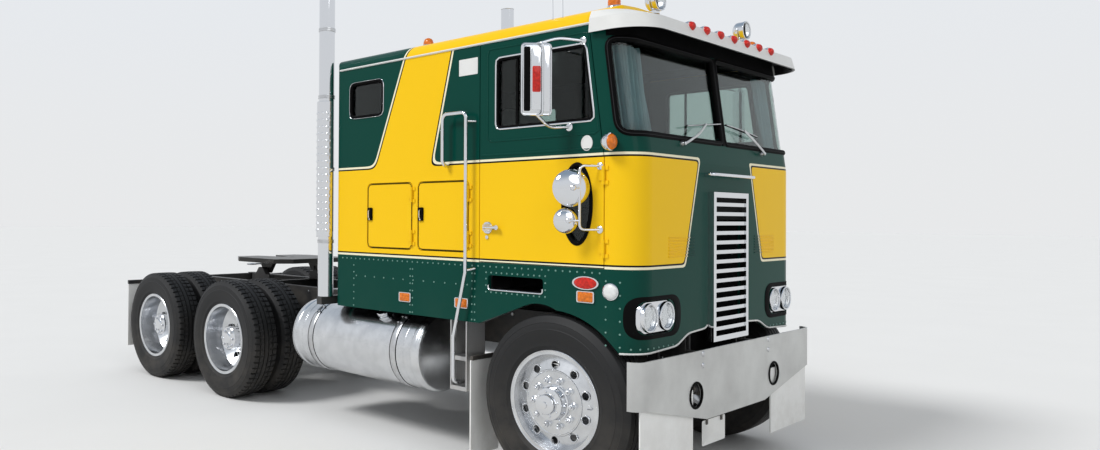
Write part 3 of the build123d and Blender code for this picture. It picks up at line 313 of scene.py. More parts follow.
def make(name, shape, body, material, *replaced, smooth=35):
    """One finished piece: its mesh from the arrays, doubles merged, faces outwards, on its body."""
    mesh = bpy.data.meshes.new(name)
    mesh.from_pydata(shape[0].tolist(), [], shape[1].tolist())
    work = bmesh.new()
    work.from_mesh(mesh)
    bmesh.ops.remove_doubles(work, verts=work.verts, dist=1e-5)
    bmesh.ops.dissolve_degenerate(work, edges=work.edges, dist=1e-6)
    bmesh.ops.recalc_face_normals(work, faces=work.faces)
    work.to_mesh(mesh)
    work.free()
    mesh.validate()
    mesh.shade_smooth()
    mesh.set_sharp_from_angle(angle=math.radians(smooth))
    mesh.materials.append(material)
    piece = placed(name, mesh)
    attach(piece, body)
    if replaced:
        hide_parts(*replaced)
    return piece


def both(name, shape, body, material, *replaced, **more):
    """A piece on the right side and its mirror image on the left; SIDE in a name stands for the side."""
    for side, sign in SIDES:
        hidden = [node.replace("SIDE", side) for node in replaced]
        here = shape if sign < 0 else mirrored(shape)
        make(f"{name}_{side}", here, body.replace("SIDE", side), material, *hidden, **more)


# Shader building blocks


class Graph:
    """Short ways to add and join the nodes of one tree."""

    def __init__(self, tree):
        self.tree = tree

    def feed(self, socket, value):
        if isinstance(value, bpy.types.NodeSocket):
            self.tree.links.new(value, socket)
        else:
            socket.default_value = value

    def add(self, kind, given=(), **settings):
        """The outputs of a new node whose inputs, by name or number, take the given values or links."""
        node = self.tree.nodes.new("ShaderNode" + kind)
        for key, value in settings.items():
            setattr(node, key, value)
        for key, value in dict(given).items():
            self.feed(node.inputs[key], value)
        return node.outputs

    def math(self, operation, *values, clamp=False):
        return self.add("Math", enumerate(values), operation=operation, use_clamp=clamp)[0]

    def mix(self, factor, a, b):
        """Colour a where the factor is 0 and b where it is 1."""
        return self.add("Mix", {0: factor, 6: a, 7: b}, data_type="RGBA")[2]

    def ramp(self, value, start, end):
        """0 below start, 1 above end, smooth between."""
        return self.add("MapRange", enumerate((value, start, end, 0.0, 1.0)), interpolation_type="SMOOTHSTEP")[0]

    def noise(self, place, scale, detail=3.0, rough=0.55):
        return self.add("TexNoise", {"Vector": place, "Scale": scale, "Detail": detail, "Roughness": rough})["Fac"]

    def parts(self, place):
        return self.add("SeparateXYZ", {0: place})


def effect(name, made, **inputs):
    """A shader node group: its graph, and its named inputs and outputs."""
    tree = bpy.data.node_groups.new(name, "ShaderNodeTree")
    for key, value in inputs.items():
        kind = "Vector" if value is None else "Color" if isinstance(value, tuple) else "Float"
        socket = tree.interface.new_socket(key, in_out="INPUT", socket_type="NodeSocket" + kind)
        if value is not None:
            socket.default_value = value
    for key in made:
        kind = "NodeSocketColor" if key == "Colour" else "NodeSocketFloat"
        tree.interface.new_socket(key, in_out="OUTPUT", socket_type=kind)
    return Graph(tree), tree.nodes.new("NodeGroupInput").outputs, tree.nodes.new("NodeGroupOutput").inputs


def fine_grain_group():
    """Height of a fine uneven surface: noise at the given scale."""
    g, given, out = effect("fine_grain", ["Height"], Place=None, Scale=200.0)
    g.feed(out["Height"], g.noise(given["Place"], given["Scale"], 4.0))
    return g.tree


def road_dust_group():
    """A pale dusty film: strongest low down and in patches, the Colour mixed towards the Dust colour."""
    g, given, out = effect("road_dust", ["Colour", "Roughness"], Place=None, Colour=(0.0, 0.0, 0.0, 1.0),
                           Dust=(0.30, 0.26, 0.21, 1), Floor=0.1, Ceiling=1.3, Amount=0.4, Sheen=0.3)
    z = g.parts(given["Place"])[2]
    heights = g.math("SUBTRACT", 1.0, g.ramp(z, given["Floor"], given["Ceiling"]))
    patches = g.ramp(g.noise(given["Place"], 5.0, 6.0, 0.65), 0.32, 0.68)
    film = g.math("MULTIPLY", g.math("MULTIPLY", heights, patches), given["Amount"], clamp=True)
    g.feed(out["Colour"], g.mix(film, given["Colour"], given["Dust"]))
    g.feed(out["Roughness"], g.math("ADD", given["Sheen"], g.math("MULTIPLY", film, 0.5), clamp=True))
    return g.tree


def painted_shade_inside_cab(g, x, away, z):
    """1 on the cab's inner faces, which are mixed to painted shade: deeper than its walls in the plan's rounded
    rectangle, on the roof not facing up.

    The distance to the plan is the length of the positive parts of (y - flat, x - corner), plus the larger of
    the two where both are negative, less the corner's radius.
    """
    rise = g.math("MAXIMUM", g.math("SUBTRACT", z, BELT), 0.0)
    along = g.math("MULTIPLY_ADD", rise, LEAN, g.math("SUBTRACT", x, CAB_FRONT - CORNER))
    aside = g.math("SUBTRACT", away, CAB_SIDE - CORNER)
    a, b = g.math("MAXIMUM", along, 0.0), g.math("MAXIMUM", aside, 0.0)
    length = g.math("SQRT", g.math("ADD", g.math("MULTIPLY", a, a), g.math("MULTIPLY", b, b)))
    distance = g.math("ADD", length, g.math("MINIMUM", g.math("MAXIMUM", along, aside), 0.0))
    facing_up = g.parts(g.add("NewGeometry")["Normal"])[2]
    below = g.math("MAXIMUM", g.math("LESS_THAN", z, ROOF_EDGE), g.math("LESS_THAN", facing_up, 0.2))
    within = g.math("MULTIPLY", g.math("LESS_THAN", distance, CORNER - WALL_DEPTH), below)
    return g.math("MULTIPLY", within, g.math("GREATER_THAN", x, CAB_BACK + WALL_DEPTH))


def coach_stripes_group():
    """The cab's colours: a signed distance to the yellow shape, the two pinstripes along its edge, and painted shade on
    its inner faces.

    The yellow shape is the band between the low line and the belt, which ends on the front at a slanting
    edge, joined by a rounded maximum to the slanting stripe that climbs over the roof. Where 10 is added to a
    distance, or taken from one, no edge is near.
    """
    g, given, out = effect("coach_stripes", ["Colour"], Place=None)
    x, y, z = g.parts(given["Place"])
    away = g.math("ABSOLUTE", y)

    def line(slope, start):
        """x minus the slanting line start + slope (z - belt)."""
        along = g.math("MULTIPLY_ADD", g.math("SUBTRACT", z, BELT), slope, FRONT_AXLE + start)
        return g.math("SUBTRACT", x, along)

    band = g.math("SMOOTH_MIN", g.math("SUBTRACT", z, LOW_LINE + 0.026), g.math("SUBTRACT", BELT + 0.008, z), 0.02)
    front_edge = g.math("MULTIPLY_ADD", g.math("SUBTRACT", BELT, z), 0.28, 0.385)
    band = g.math("SMOOTH_MIN", band, g.math("SUBTRACT", away, front_edge), 0.05)
    over_left = g.math("MULTIPLY", line(0.404, -1.640), 0.927)
    over_right = g.math("MULTIPLY", line(0.248, -1.066), -0.971)
    roof = g.math("MULTIPLY", g.math("GREATER_THAN", z, ROOF_EDGE), 10.0)
    stripe = g.math("MINIMUM", over_left, g.math("ADD", over_right, roof))
    stripe = g.math("MINIMUM", stripe, g.math("SUBTRACT", z, BELT - 0.2))
    back = g.math("MULTIPLY", g.math("LESS_THAN", x, CAB_BACK + 0.012), 10.0)
    yellow = g.math("SUBTRACT", g.math("SMOOTH_MAX", band, stripe, 0.10), back)
    shade = g.math("MULTIPLY", g.noise(given["Place"], 1.3, 2.0), 0.25)
    colour = g.mix(shade, (0.0008, 0.046, 0.033, 1), (0.0010, 0.062, 0.046, 1))
    gold = g.mix(shade, (0.90, 0.555, 0.010, 1), (0.86, 0.480, 0.006, 1))
    for start, end, paint in ((-0.0265, -0.0255, (0.86, 0.80, 0.58, 1)), (-0.0115, -0.0105, (0.006, 0.006, 0.006, 1)),
                              (-0.0005, 0.0005, gold)):
        colour = g.mix(g.ramp(yellow, start, end), colour, paint)
    # The inner faces are mixed to near black: painted shade for the dim inside of the cab.
    g.feed(out["Colour"], g.mix(painted_shade_inside_cab(g, x, away, z), colour, (0.030, 0.031, 0.033, 1)))
    return g.tree


def brushed_group():
    """Long fine scratches: noise drawn out along one direction, as height and as roughness."""
    g, given, out = effect("brushed", ["Height", "Roughness"], Place=None, Sheen=0.3)
    fine = g.noise(given["Place"], 1.0, 2.0)
    g.feed(out["Height"], fine)
    g.feed(out["Roughness"], g.math("MULTIPLY_ADD", fine, 0.22, given["Sheen"], clamp=True))
    return g.tree


def tread_plate_group():
    """Raised lozenges: two crossed waves at 45 degrees, cut off low, for a non-slip plate."""
    g, given, out = effect("tread_plate", ["Height"], Place=None, Pitch=0.03)
    x, y, _ = g.parts(given["Place"])
    waves = []
    for way in ("ADD", "SUBTRACT"):
        wave = g.math("SINE", g.math("DIVIDE", g.math("MULTIPLY", g.math(way, x, y), 4.44), given["Pitch"]))
        waves.append(g.math("MULTIPLY", wave, wave))
    g.feed(out["Height"], g.ramp(g.math("MAXIMUM", *waves), 0.86, 0.97))
    return g.tree


def weave_group():
    """Threads over and under: the product of two fine sine waves across the surface."""
    g, given, out = effect("weave", ["Height", "Shade"], Place=None, Threads=900.0)
    x, y, z = g.parts(given["Place"])
    waves = [g.math("SINE", g.math("MULTIPLY", g.math("ADD", across, z), given["Threads"])) for across in (x, y)]
    g.feed(out["Height"], g.math("MULTIPLY", *waves))
    g.feed(out["Shade"], g.noise(given["Place"], 9.0, 3.0))
    return g.tree


FINE_GRAIN, ROAD_DUST, COACH_STRIPES = fine_grain_group(), road_dust_group(), coach_stripes_group()
BRUSHED, TREAD_PLATE, WEAVE = brushed_group(), tread_plate_group(), weave_group()
SOCKET_NAMES = {"metallic": "Metallic", "coat": "Coat Weight", "transmission": "Transmission Weight", "ior": "IOR",
                "specular": "Specular IOR Level", "fuzz": "Sheen Weight", "coat_roughness": "Coat Roughness"}


class Finish(Graph):
    """A material with its Principled shader, and the effects placed in it one after another."""

    def __init__(self, name, slot, colour, roughness, ior=1.5, coat_roughness=0.04, **more):
        self.material = bpy.data.materials.new(name)
        self.material.use_nodes = True
        super().__init__(self.material.node_tree)
        self.sockets = self.tree.nodes["Principled BSDF"].inputs
        self.colour, self.sheen = (*colour, 1), roughness
        self.sockets["Base Color"].default_value = self.colour
        self.sockets["Roughness"].default_value = roughness
        for key, value in dict(more, ior=ior, coat_roughness=coat_roughness).items():
            self.sockets[SOCKET_NAMES[key]].default_value = value
        self.place = self.add("TexCoord")["Object"]

    def group(self, tree, **given):
        return self.add("Group", {"Place": self.place, **given}, node_tree=tree)

    def bump(self, height, strength, distance):
        normal = self.add("Bump", {"Strength": strength, "Distance": distance, "Height": height})[0]
        self.feed(self.sockets["Normal"], normal)
        return self

    def grained(self, scale, strength=0.2, distance=0.001):
        return self.bump(self.group(FINE_GRAIN, Scale=scale)["Height"], strength, distance)

    def dusty(self, amount, ceiling, colour=None):
        out = self.group(ROAD_DUST, Colour=colour or self.colour, Amount=amount, Ceiling=ceiling, Sheen=self.sheen)
        self.feed(self.sockets["Base Color"], out["Colour"])
        self.feed(self.sockets["Roughness"], out["Roughness"])
        return self

    def mottled(self, other, scale, spread=0.2):
        """The base colour varied by noise towards another colour."""
        factor = self.ramp(self.noise(self.place, scale, 5.0), 0.5 - spread, 0.5 + spread)
        self.feed(self.sockets["Base Color"], self.mix(factor, self.colour, (*other, 1)))
        return self

    def smeared(self, scale, detail, amount):
        """A roughness that varies by noise, from 0 to the amount."""
        rough = self.math("MULTIPLY_ADD", self.noise(self.place, scale, detail), amount, 0.0, clamp=True)
        self.feed(self.sockets["Roughness"], rough)
        return self

    def brushed(self, scale, strength):
        long = self.add("Mapping", {"Vector": self.place, "Scale": scale})[0]
        out = self.group(BRUSHED, Place=long, Sheen=self.sheen)
        self.feed(self.sockets["Roughness"], out["Roughness"])
        return self.bump(out["Height"], strength, 0.0004)

    def woven(self, other, threads):
        out = self.group(WEAVE, Threads=threads)
        self.feed(self.sockets["Base Color"], self.mix(out["Shade"], self.colour, (*other, 1)))
        return self.bump(out["Height"], 0.4, 0.0006)


def visor_with_painted_shade():
    """White outside, with painted shade: matt black on the faces that look down or back, where the visor's shadow falls
    and which shade the glass.
    """
    f = Finish("visor_with_painted_shade", "white_paint", (0.74, 0.74, 0.72), 0.38)
    facing_x, _, facing_z = f.parts(f.add("NewGeometry")["Normal"])
    # Painted shade: faces that look down or back are mixed to black.
    under = f.math("LESS_THAN", f.math("MINIMUM", facing_x, facing_z), -0.12)
    white = f.mix(f.noise(f.place, 14.0, 4.0), f.colour, (0.69, 0.69, 0.67, 1))
    f.feed(f.sockets["Base Color"], f.mix(under, white, (0.010, 0.010, 0.011, 1)))
    return f.grained(26.0, 0.05, 0.002)


def matte_black(name, slot, level, rough, scale):
    f = Finish(name, slot, (level, level, level * 1.05), rough, specular=0.04)
    return f.dusty(0.01, 1.6).grained(scale, 0.35, 0.0008)


def lens(name, colour):
    f = Finish(name, name, colour, 0.2, coat=0.35, transmission=0.1, ior=1.3)
    return f.mottled([0.6 * c for c in colour], 60.0).grained(420.0, 0.35, 0.0012)


paint = Finish("coach_paint", "cab_paint", (0.003, 0.07, 0.045), 0.3, coat=0.12, specular=0.05)
paint.dusty(0.06, 1.4, paint.group(COACH_STRIPES)["Colour"]).grained(26.0, 0.05, 0.002)
tread = Finish("tread_plate", "tread_plate", (0.60, 0.60, 0.60), 0.35, metallic=1.0).dusty(0.35, 1.4)
tread.bump(tread.group(TREAD_PLATE, Pitch=0.03)["Height"], 0.8, 0.0025)
FINISHES = (
    paint, tread, visor_with_painted_shade(),
    Finish("frame_black", "frame_paint", (0.018, 0.018, 0.019), 0.45).dusty(0.45, 1.35).grained(90.0, 0.25),
    Finish("engine_iron", "engine_iron", (0.10, 0.10, 0.105), 0.55, metallic=0.6).dusty(0.5, 1.6).grained(140.0, 0.4),
    Finish("polished_aluminium", "polished_aluminium", (0.72, 0.73, 0.745), 0.11, metallic=1.0)
    .mottled((0.57, 0.58, 0.595), 9.0, 0.3).brushed((14.0, 900.0, 900.0), 0.05),
    Finish("bumper_aluminium", "bumper_aluminium", (0.63, 0.635, 0.62), 0.38, metallic=1.0)
    .mottled((0.50, 0.50, 0.49), 3.0, 0.25).brushed((900.0, 9.0, 900.0), 0.12),
    Finish("chrome", "chrome", (0.73, 0.74, 0.76), 0.05, metallic=1.0).smeared(30.0, 4.0, 0.10),
    Finish("tyre_rubber", "tyre_rubber", (0.012, 0.012, 0.0125), 0.58, specular=0.3).dusty(0.10, 0.9)
    .grained(260.0, 0.3, 0.0008),
    Finish("tinted_glass", "glass", (0.50, 0.60, 0.57), 0.02, transmission=1.0, ior=1.33).smeared(3.0, 5.0, 0.05),
    lens("amber_lens", (0.90, 0.22, 0.012)), lens("red_lens", (0.72, 0.020, 0.010)),
    Finish("clear_glass", "glass", (0.94, 0.95, 0.95), 0.02, transmission=1.0, ior=1.25).smeared(40.0, 3.0, 0.08),
    Finish("milky_lens", "glass", (0.78, 0.79, 0.78), 0.25, coat=0.6).mottled((0.66, 0.67, 0.66), 50.0, 0.3)
    .grained(380.0, 0.3, 0.001),
    matte_black("black_seal", "trim_plastic", 0.0035, 0.55, 180.0),
    matte_black("trim_plastic", "trim_plastic", 0.03, 0.6, 420.0),
    matte_black("cab_lining", "cab_lining", 0.05, 0.8, 380.0),
    Finish("flap_rubber", "flap_rubber", (0.82, 0.82, 0.80), 0.5).dusty(0.22, 0.9).grained(70.0),
    Finish("visor_white", "white_paint", (0.74, 0.74, 0.72), 0.35, coat=0.3).dusty(0.10, 3.4)
    .grained(26.0, 0.05, 0.002),
    Finish("seat_vinyl", "seat_vinyl", (0.035, 0.034, 0.036), 0.42).mottled((0.06, 0.058, 0.06), 14.0)
    .grained(520.0, 0.5),
    Finish("bunk_cloth", "bunk_fabric", (0.16, 0.18, 0.22), 0.85, fuzz=0.3).woven((0.28, 0.30, 0.34), 700.0),
    Finish("curtain_cloth", "bunk_fabric", (0.34, 0.46, 0.54), 0.85, fuzz=0.3).woven((0.52, 0.64, 0.70), 900.0),
    Finish("greased_steel", "frame_paint", (0.045, 0.043, 0.04), 0.35, metallic=0.7)
    .mottled((0.026, 0.025, 0.023), 5.0, 0.3).grained(60.0, 0.5, 0.002),
    Finish("bright_steel", "chrome", (0.62, 0.63, 0.64), 0.28, metallic=1.0).mottled((0.48, 0.48, 0.49), 24.0, 0.3)
    .grained(220.0, 0.15),
    # Rivet heads: a lighter green than the cab paint, as a painted highlight on their domes; the mottle is random.
    Finish("rivet_heads_painted_highlight", "cab_paint", (0.20, 0.36, 0.31), 0.3).mottled((0.10, 0.24, 0.20), 40.0, 0.3).grained(300.0),
)
(PAINT, TREAD, VISOR, FRAME_BLACK, IRON, POLISHED, BUMPER_METAL, CHROME, RUBBER, GLASS, AMBER, RED, CLEAR, MILKY, SEAL,
 TRIM, LINING, FLAP, WHITE, VINYL, BUNK_CLOTH, CURTAIN_CLOTH, GREASED, BRIGHT_STEEL, RIVET_HEADS) = (
    finish.material for finish in FINISHES)
NODE_FINISHES = (
    (PAINT, "cab_back cab_front cab_roof cab_sides cab_skirt door_SIDE locker_front_SIDE locker_back_SIDE"),
    (GLASS, "cab_glass door_glass_SIDE"), (BUMPER_METAL, "bumper"), (BUNK_CLOTH, "bunk"), (LINING, "cab_floor"),
    (TREAD, "deck_plate entry_steps"), (TRIM, "dashboard steering_wheel"), (AMBER, "marker_lamps"), (VINYL, "seats"),
    (FRAME_BLACK, "drive_shafts fifth_wheel_stands frame front_axle rear_axles springs tail_lamps knuckle_SIDE"),
    (IRON, "engine"), (GREASED, "fifth_wheel_plate"), (FLAP, "flaps"), (VISOR, "sun_visor"),
    (CHROME, "grab_rails grille headlamps roof_lamps stacks door_mirrors_SIDE"),
    (POLISHED, "fuel_tanks front_wheel_SIDE drive_wheels_SIDE rear_wheels_SIDE"),
    (RUBBER, "front_tyre_SIDE drive_tyres_SIDE rear_tyres_SIDE"))
for finish, names in NODE_FINISHES:
    for node in {name.replace("SIDE", side) for name in names.split() for side, _ in SIDES}:
        nodes[node].data.materials.clear()
        nodes[node].data.materials.append(finish)

# Tyres

TYRE_R, CROWN_EDGE = 0.540, 0.106
GROOVES = (-0.066, -0.022, 0.022, 0.066)
GROOVE_WALLS = ((-0.0058, 0.0), (-0.0036, 0.0145), (0.0036, 0.0145), (0.0058, 0.0))
SIDEWALL = ((0.104, 0.311), (0.113, 0.325), (0.122, 0.337), (0.1265, 0.348), (0.1300, 0.352), (0.1300, 0.357),
            (0.1300, 0.372), (0.1350, 0.392), (0.1385, 0.414), (0.1400, 0.436), (0.1415, 0.452), (0.1385, 0.456),
            (0.1370, 0.474), (0.1330, 0.490), (0.1345, 0.494), (0.1290, 0.502), (0.1225, 0.515), (0.1170, 0.526))


def tyre_shape(lugged):
    """A tyre about the Y axis: sidewalls and a crowned tread whose grooves wander by a zigzag round the wheel.

    Round the shoulder a lugged tread drops into cross slots, 60 of them, at fixed shares of each pitch.
    """
    pitches, shares = (60, (0.0, 0.07, 0.24, 0.31, 0.62)) if lugged else (72, (0.0, 0.25, 0.5, 0.75))
    share = np.tile(shares, pitches)
    angle = (np.repeat(np.arange(pitches), len(shares)) + share) * 2 * math.pi / pitches
    slot = ((share > 0.05) & (share < 0.26)).astype(float) if lugged else 0 * share
    zigzag = 0.0030 * (np.abs(2 * share - 1) * 2 - 1) * (0.4 if lugged else 1.0)
    half = [(-o, r, 0.0, 0.0) for o, r in SIDEWALL] + [(-0.1120, 0.5345, 0.013, 0.0), (-CROWN_EDGE, 0.5375, 0.014, 0.0)]
    crown = []
    for across, depth in [(centre + offset, depth) for centre in GROOVES for offset, depth in GROOVE_WALLS]:
        cut = 0.012 if lugged and abs(across) > 0.06 and not depth else 0.0
        crown.append((across, TYRE_R - 0.0025 * (across / CROWN_EDGE) ** 2 - depth, cut, 1.0))
    along, radius, drop, wander = np.array(half + crown + [(-o, *rest) for o, *rest in half[::-1]]).T
    r = radius[None] - slot[:, None] * drop[None]
    y = along[None] + zigzag[:, None] * wander[None]
    grid = np.stack([r * np.cos(angle)[:, None], y, r * np.sin(angle)[:, None]], -1)
    return grid_shape(grid, close_rows=True, close_columns=True)


FRONT_OUT, TWINS_OUT = 1.010, (0.750, 1.080)
RIB_TYRE, LUG_TYRE = tyre_shape(False), tyre_shape(True)
for side, sign in SIDES:
    make("front_tyre_tread_" + side, moved(RIB_TYRE, (FRONT_AXLE, sign * FRONT_OUT, WHEEL_Z)), side + "_front_wheel",
         RUBBER, "front_tyre_" + side, smooth=30)
    for axle, x in (("drive", DRIVE_AXLE), ("rear", REAR_AXLE)):
        make(f"{axle}_tyre_treads_{side}", copies(LUG_TYRE, [(x, sign * y, WHEEL_Z) for y in TWINS_OUT]),
             f"{side}_{axle}_wheels", RUBBER, f"{axle}_tyres_{side}", smooth=30)

# Wheel trim: nuts on studs, hubs, hand hole edges, rim lips and valves, about the right wheel's axis

HOLE_CIRCLE, NUT_CIRCLE, BOLTING_FACE_R, DISC_R = 0.232, 0.143, 0.200, 0.2977
HUB_LENGTH = 0.217
FACE_STEP = [(0.192, -0.001), (0.196, 0.0032), (0.203, 0.0026), (0.207, -0.005)]


def ring_of(shape, radius, count, start=0.0):
    """The shape, made on the Y axis, set round it at a radius, count times."""
    a = start + 2 * math.pi * np.arange(count) / count
    return copies(shape, np.stack([radius * np.cos(a), 0 * a, radius * np.sin(a)], 1))


def lug_nuts():
    """Ten flanged nuts on their studs: flange, six sides, a chamfer and the stud's rounded end."""
    flange = boss(button(0.0225, 0, 0.004, 0.0190, 0.0065), 18)
    stud = boss([(0.0105, 0.02), (0.0105, 0.040), (0.0080, 0.0435), (0, 0.0435)], 12)
    return ring_of(together([flange, nut(0.0190, 0.027), stud]), NUT_CIRCLE, 10)


def front_hub():
    """The front hub's bright cap: a bolted flange, a stepped barrel and a domed end with a small boss."""
    barrel = boss([(0.112, 0), (0.112, 0.010), (0.104, 0.014), (0.1015, 0.040), (0.096, 0.0575), (0.080, 0.063),
                   (0.064, 0.065), (0.0625, 0.084), (0.058, 0.091), (0.045, 0.0955), (0.020, 0.0975), (0.018, 0.103),
                   (0, 0.104)], 60)
    return together([barrel, moved(ring_of(nut(0.0075, 0.007), 0.075, 8, 0.2), (0, -0.0640, 0))])


def rear_hub():
    """A drive hub: its barrel runs out to the axle shaft's flange, held by eight nuts, with a raised centre."""
    end = HUB_LENGTH
    barrel = boss([(0.118, 0), (0.118, 0.012), (0.106, 0.020), (0.1045, end - 0.040), (0.110, end - 0.036),
                   (0.110, end - 0.010), (0.104, end - 0.004), (0.060, end - 0.002), (0.048, end + 0.012),
                   (0.020, end + 0.018), (0, end + 0.018)], 60)
    return together([barrel, moved(ring_of(nut(0.0125, 0.014), 0.083, 8), (0, 0.003 - end, 0))])


def wheel_trim(face, at_rim):
    """Rim lip, ten hand hole edges and the valve: a lip of small round section and a ring in each hole.

    The holes stand where the disc slopes from its bolting face towards the rim, by equal shares of its radius.
    """
    lips = boss([(0.3255, 0.112), (0.3262, 0.118), (0.3225, 0.1215), (0.3150, 0.119), (0.3075, 0.108), (0.3030, 0.090),
                 (0.2995, 0.090), (0.3120, 0.108)], 96)
    a = np.linspace(0, 2 * math.pi, 9)
    edge = turned(np.stack([0.0275 + 0.0042 * np.cos(a), 0.0042 * np.sin(a)], 1), 22, "y")
    hole = at_rim + (face - at_rim) * (DISC_R - HOLE_CIRCLE) / (DISC_R - BOLTING_FACE_R) + 0.001
    edges = moved(ring_of(edge, HOLE_CIRCLE, 10, math.pi / 10), (0, -hole, 0))
    valve = tube([(0.262, -hole - 0.002, 0.0), (0.262, -hole - 0.020, 0.004), (0.258, -hole - 0.045, 0.010)],
                 [0.0045, 0.0038, 0.0036], 10)
    return together([lips, edges]), valve


for axle, body, hub_name, hub, x, out, face, at_rim in (
        ("front", "SIDE_front_wheel", "hub_cap", front_hub(), FRONT_AXLE, FRONT_OUT, 0.104, 0.066),
        ("drive", "SIDE_drive_wheels", "hub_flange", rear_hub(), DRIVE_AXLE, TWINS_OUT[1], -0.151, -0.060),
        ("rear", "SIDE_rear_wheels", "hub_flange", rear_hub(), REAR_AXLE, TWINS_OUT[1], -0.151, -0.060)):
    edges, valve = wheel_trim(face, at_rim)
    if axle == "front":
        edges = together([edges, boss(FACE_STEP, 96, (0, -face, 0))])
    for name, shape, depth, finish in (("nuts", lug_nuts(), face, CHROME), (hub_name, hub, face, CHROME),
                                       ("wheel_edges", edges, 0, POLISHED), ("valve", valve, 0, CHROME)):
        both(f"{axle}_{name}", moved(shape, (x, -out - depth, WHEEL_Z)), body, finish)

# Mirrors: a tall head on three tube arms, and two round ones on a bow

TALL_AT, TALL_TURN = at(0.030, -1.345, DRIP - 0.335), math.radians(49)
TALL_OUT = np.array((math.sin(TALL_TURN), -math.cos(TALL_TURN), 0))
HEAD, GLASS_HALF = (-0.086, 0.086, -0.211, 0.211), (0.080, 0.205)
ARM_FEET = ((0.205, DRIP - 0.098), (0.110, 2.230), (-0.060, DRIP - 0.098))
BOW_FOOT_X, BOW_X, BOW_OUT, BOW_Z = 0.325, 0.262, 0.116, (1.985, 1.610)
ROUND_MIRRORS = ((0.214, 1.855, 0.111), (0.181, 1.663, 0.077))


def on_head(box, corner, heights):
    """A rounded plate on the tall mirror's back."""
    return facing(raised(rounded(rectangle(*box), corner), heights), TALL_AT, TALL_OUT)


def mirror_arms():
    """Frame, ridge, lamp base, arms, feet and bowls of the right door's mirrors, all bright."""
    frame_bar = tube(on_head(HEAD, 0.022, [(1, 0)])[0], 0.0075, 10, closed=True)
    ridge = on_head((0.036, 0.078, -0.195, 0.195), 0.012, [(1, 0.008), (1, 0.019), (0.9, 0.024), (0, 0.025)])
    base = on_head((-0.034, 0.024, -0.185, 0.185), 0.012, [(1, 0.008), (1, 0.026), (0.94, 0.028), (0, 0.028)])
    top, foot = TALL_AT + (0, 0, 0.210), TALL_AT - (0, 0, 0.210)
    away = TALL_OUT * 0.034 + np.array((math.cos(TALL_TURN), math.sin(TALL_TURN), 0)) * 0.031
    sunk = [wall(x, z, -0.002) for x, z in ARM_FEET]
    bow = [wall(BOW_FOOT_X, BOW_Z[0]), *(wall(BOW_X, z, BOW_OUT) for z in BOW_Z), wall(BOW_FOOT_X, BOW_Z[1])]
    arms = [rod([sunk[0], at(0.110, -1.240, DRIP - 0.085), top], 0.045, 0.0095),
            rod([sunk[1], at(0.048, -1.235, 2.222), foot], 0.045, 0.0095), tube([sunk[2], top], 0.0075),
            rod([top + (0, 0, 0.004), top + away + (0, 0, 0.006), foot + away - (0, 0, 0.006), foot - (0, 0, 0.004)],
                0.03, 0.0065, steps=8),
            rod(bow, 0.035, 0.0080, steps=8)]
    feet = [boss(button(0.024, 0, 0.004, 0.014, 0.009), 20, wall(x, z)) for x, z in ARM_FEET]
    feet += [boss(button(0.022, 0, 0.004, 0.013, 0.010), 20, wall(BOW_FOOT_X, z)) for z in BOW_Z]
    bowls = []
    for x, z, r in ROUND_MIRRORS:
        centre, hold = wall(x, z, 0.130), wall(BOW_X, z, BOW_OUT)
        profile = [(0, -0.014), (0.93 * r, -0.014), (r, -0.012), (r, -0.004), (0.955 * r, 0.003), (0.80 * r, 0.019),
                   (0.55 * r, 0.031), (0.28 * r, 0.037), (0.16 * r, 0.038), (0.14 * r, 0.043), (0, 0.044)]
        bowls.append(facing(turned(profile, 48, "z"), centre, TALL_OUT))
        feet.append(facing(turned(button(0.016, 0.01, 0.05, 0.012, 0.054), 16, "z"), centre, TALL_OUT))
        hub = centre + TALL_OUT * 0.046
        arms.append(tube([hold, (hold + hub) / 2 + TALL_OUT * 0.004, hub], 0.0065))
    return together([frame_bar, ridge, base] + arms + feet + bowls)


mirror_glass = rectangle(-GLASS_HALF[0], GLASS_HALF[0], -GLASS_HALF[1], GLASS_HALF[1])
mirror_glass = raised(rounded(mirror_glass, 0.016), [(0, 0), (0.98, 0.0), (1, -0.001), (1, -0.004), (0, -0.004)])
for name, shape, finish, *replaced in (
        ("mirror_arms", mirror_arms(), CHROME, "door_mirrors_SIDE"),
        ("mirror_shell", on_head(HEAD, 0.022, [
            (0, -0.017), (0.97, -0.017), (1, -0.012), (1, 0.004), (0.93, 0.012), (0.7, 0.0165), (0, 0.018)]),
         POLISHED, "door_mirrors_SIDE"),
        ("mirror_panel", on_head((-0.078, -0.040, -0.192, 0.192), 0.010, [
            (1, 0.010), (1, 0.0185), (0.96, 0.0195), (0, 0.0195)]), SEAL),
        ("mirror_lamp", on_head((-0.030, 0.020, -0.080, 0.075), 0.010, [
            (1, 0.020), (1, 0.030), (0.85, 0.0345), (0.4, 0.036), (0, 0.036)]), RED),
        ("mirror_glass", facing(mirror_glass, TALL_AT - TALL_OUT * 0.0175, -TALL_OUT), CHROME)):
    both(name, shape, "SIDE_door", finish, *replaced)

# Lamps: bezels, reflectors and lenses

SKIRT_LAMPS = ((-1.304, 1.095), (-0.754, 1.095), (0.231, 1.208))
LAMP_Z, LAMP_Y, RECESS, RECESS_DEPTH = 1.100, (0.770, 0.965), 0.098, 0.060
ROOF_INSET = 0.170


def flat_marker(outline, x, z):
    """A marker lamp that stands on the side: a bright rim and a cushion-shaped lens."""
    rim = [(1, -0.001), (1, 0.007), (0.985, 0.010), (0.8568, 0.010), (0.84, 0.007), (0.84, -0.001)]
    cushion = [(0.85, 0.001), (0.85, 0.009), (0.78, 0.0145), (0.55, 0.0178), (0, 0.0185)]
    shapes = raised(outline, rim, ring=True), raised(outline, cushion)
    return [facing(shape, wall(x, z), SIDE_WAY) for shape in shapes]


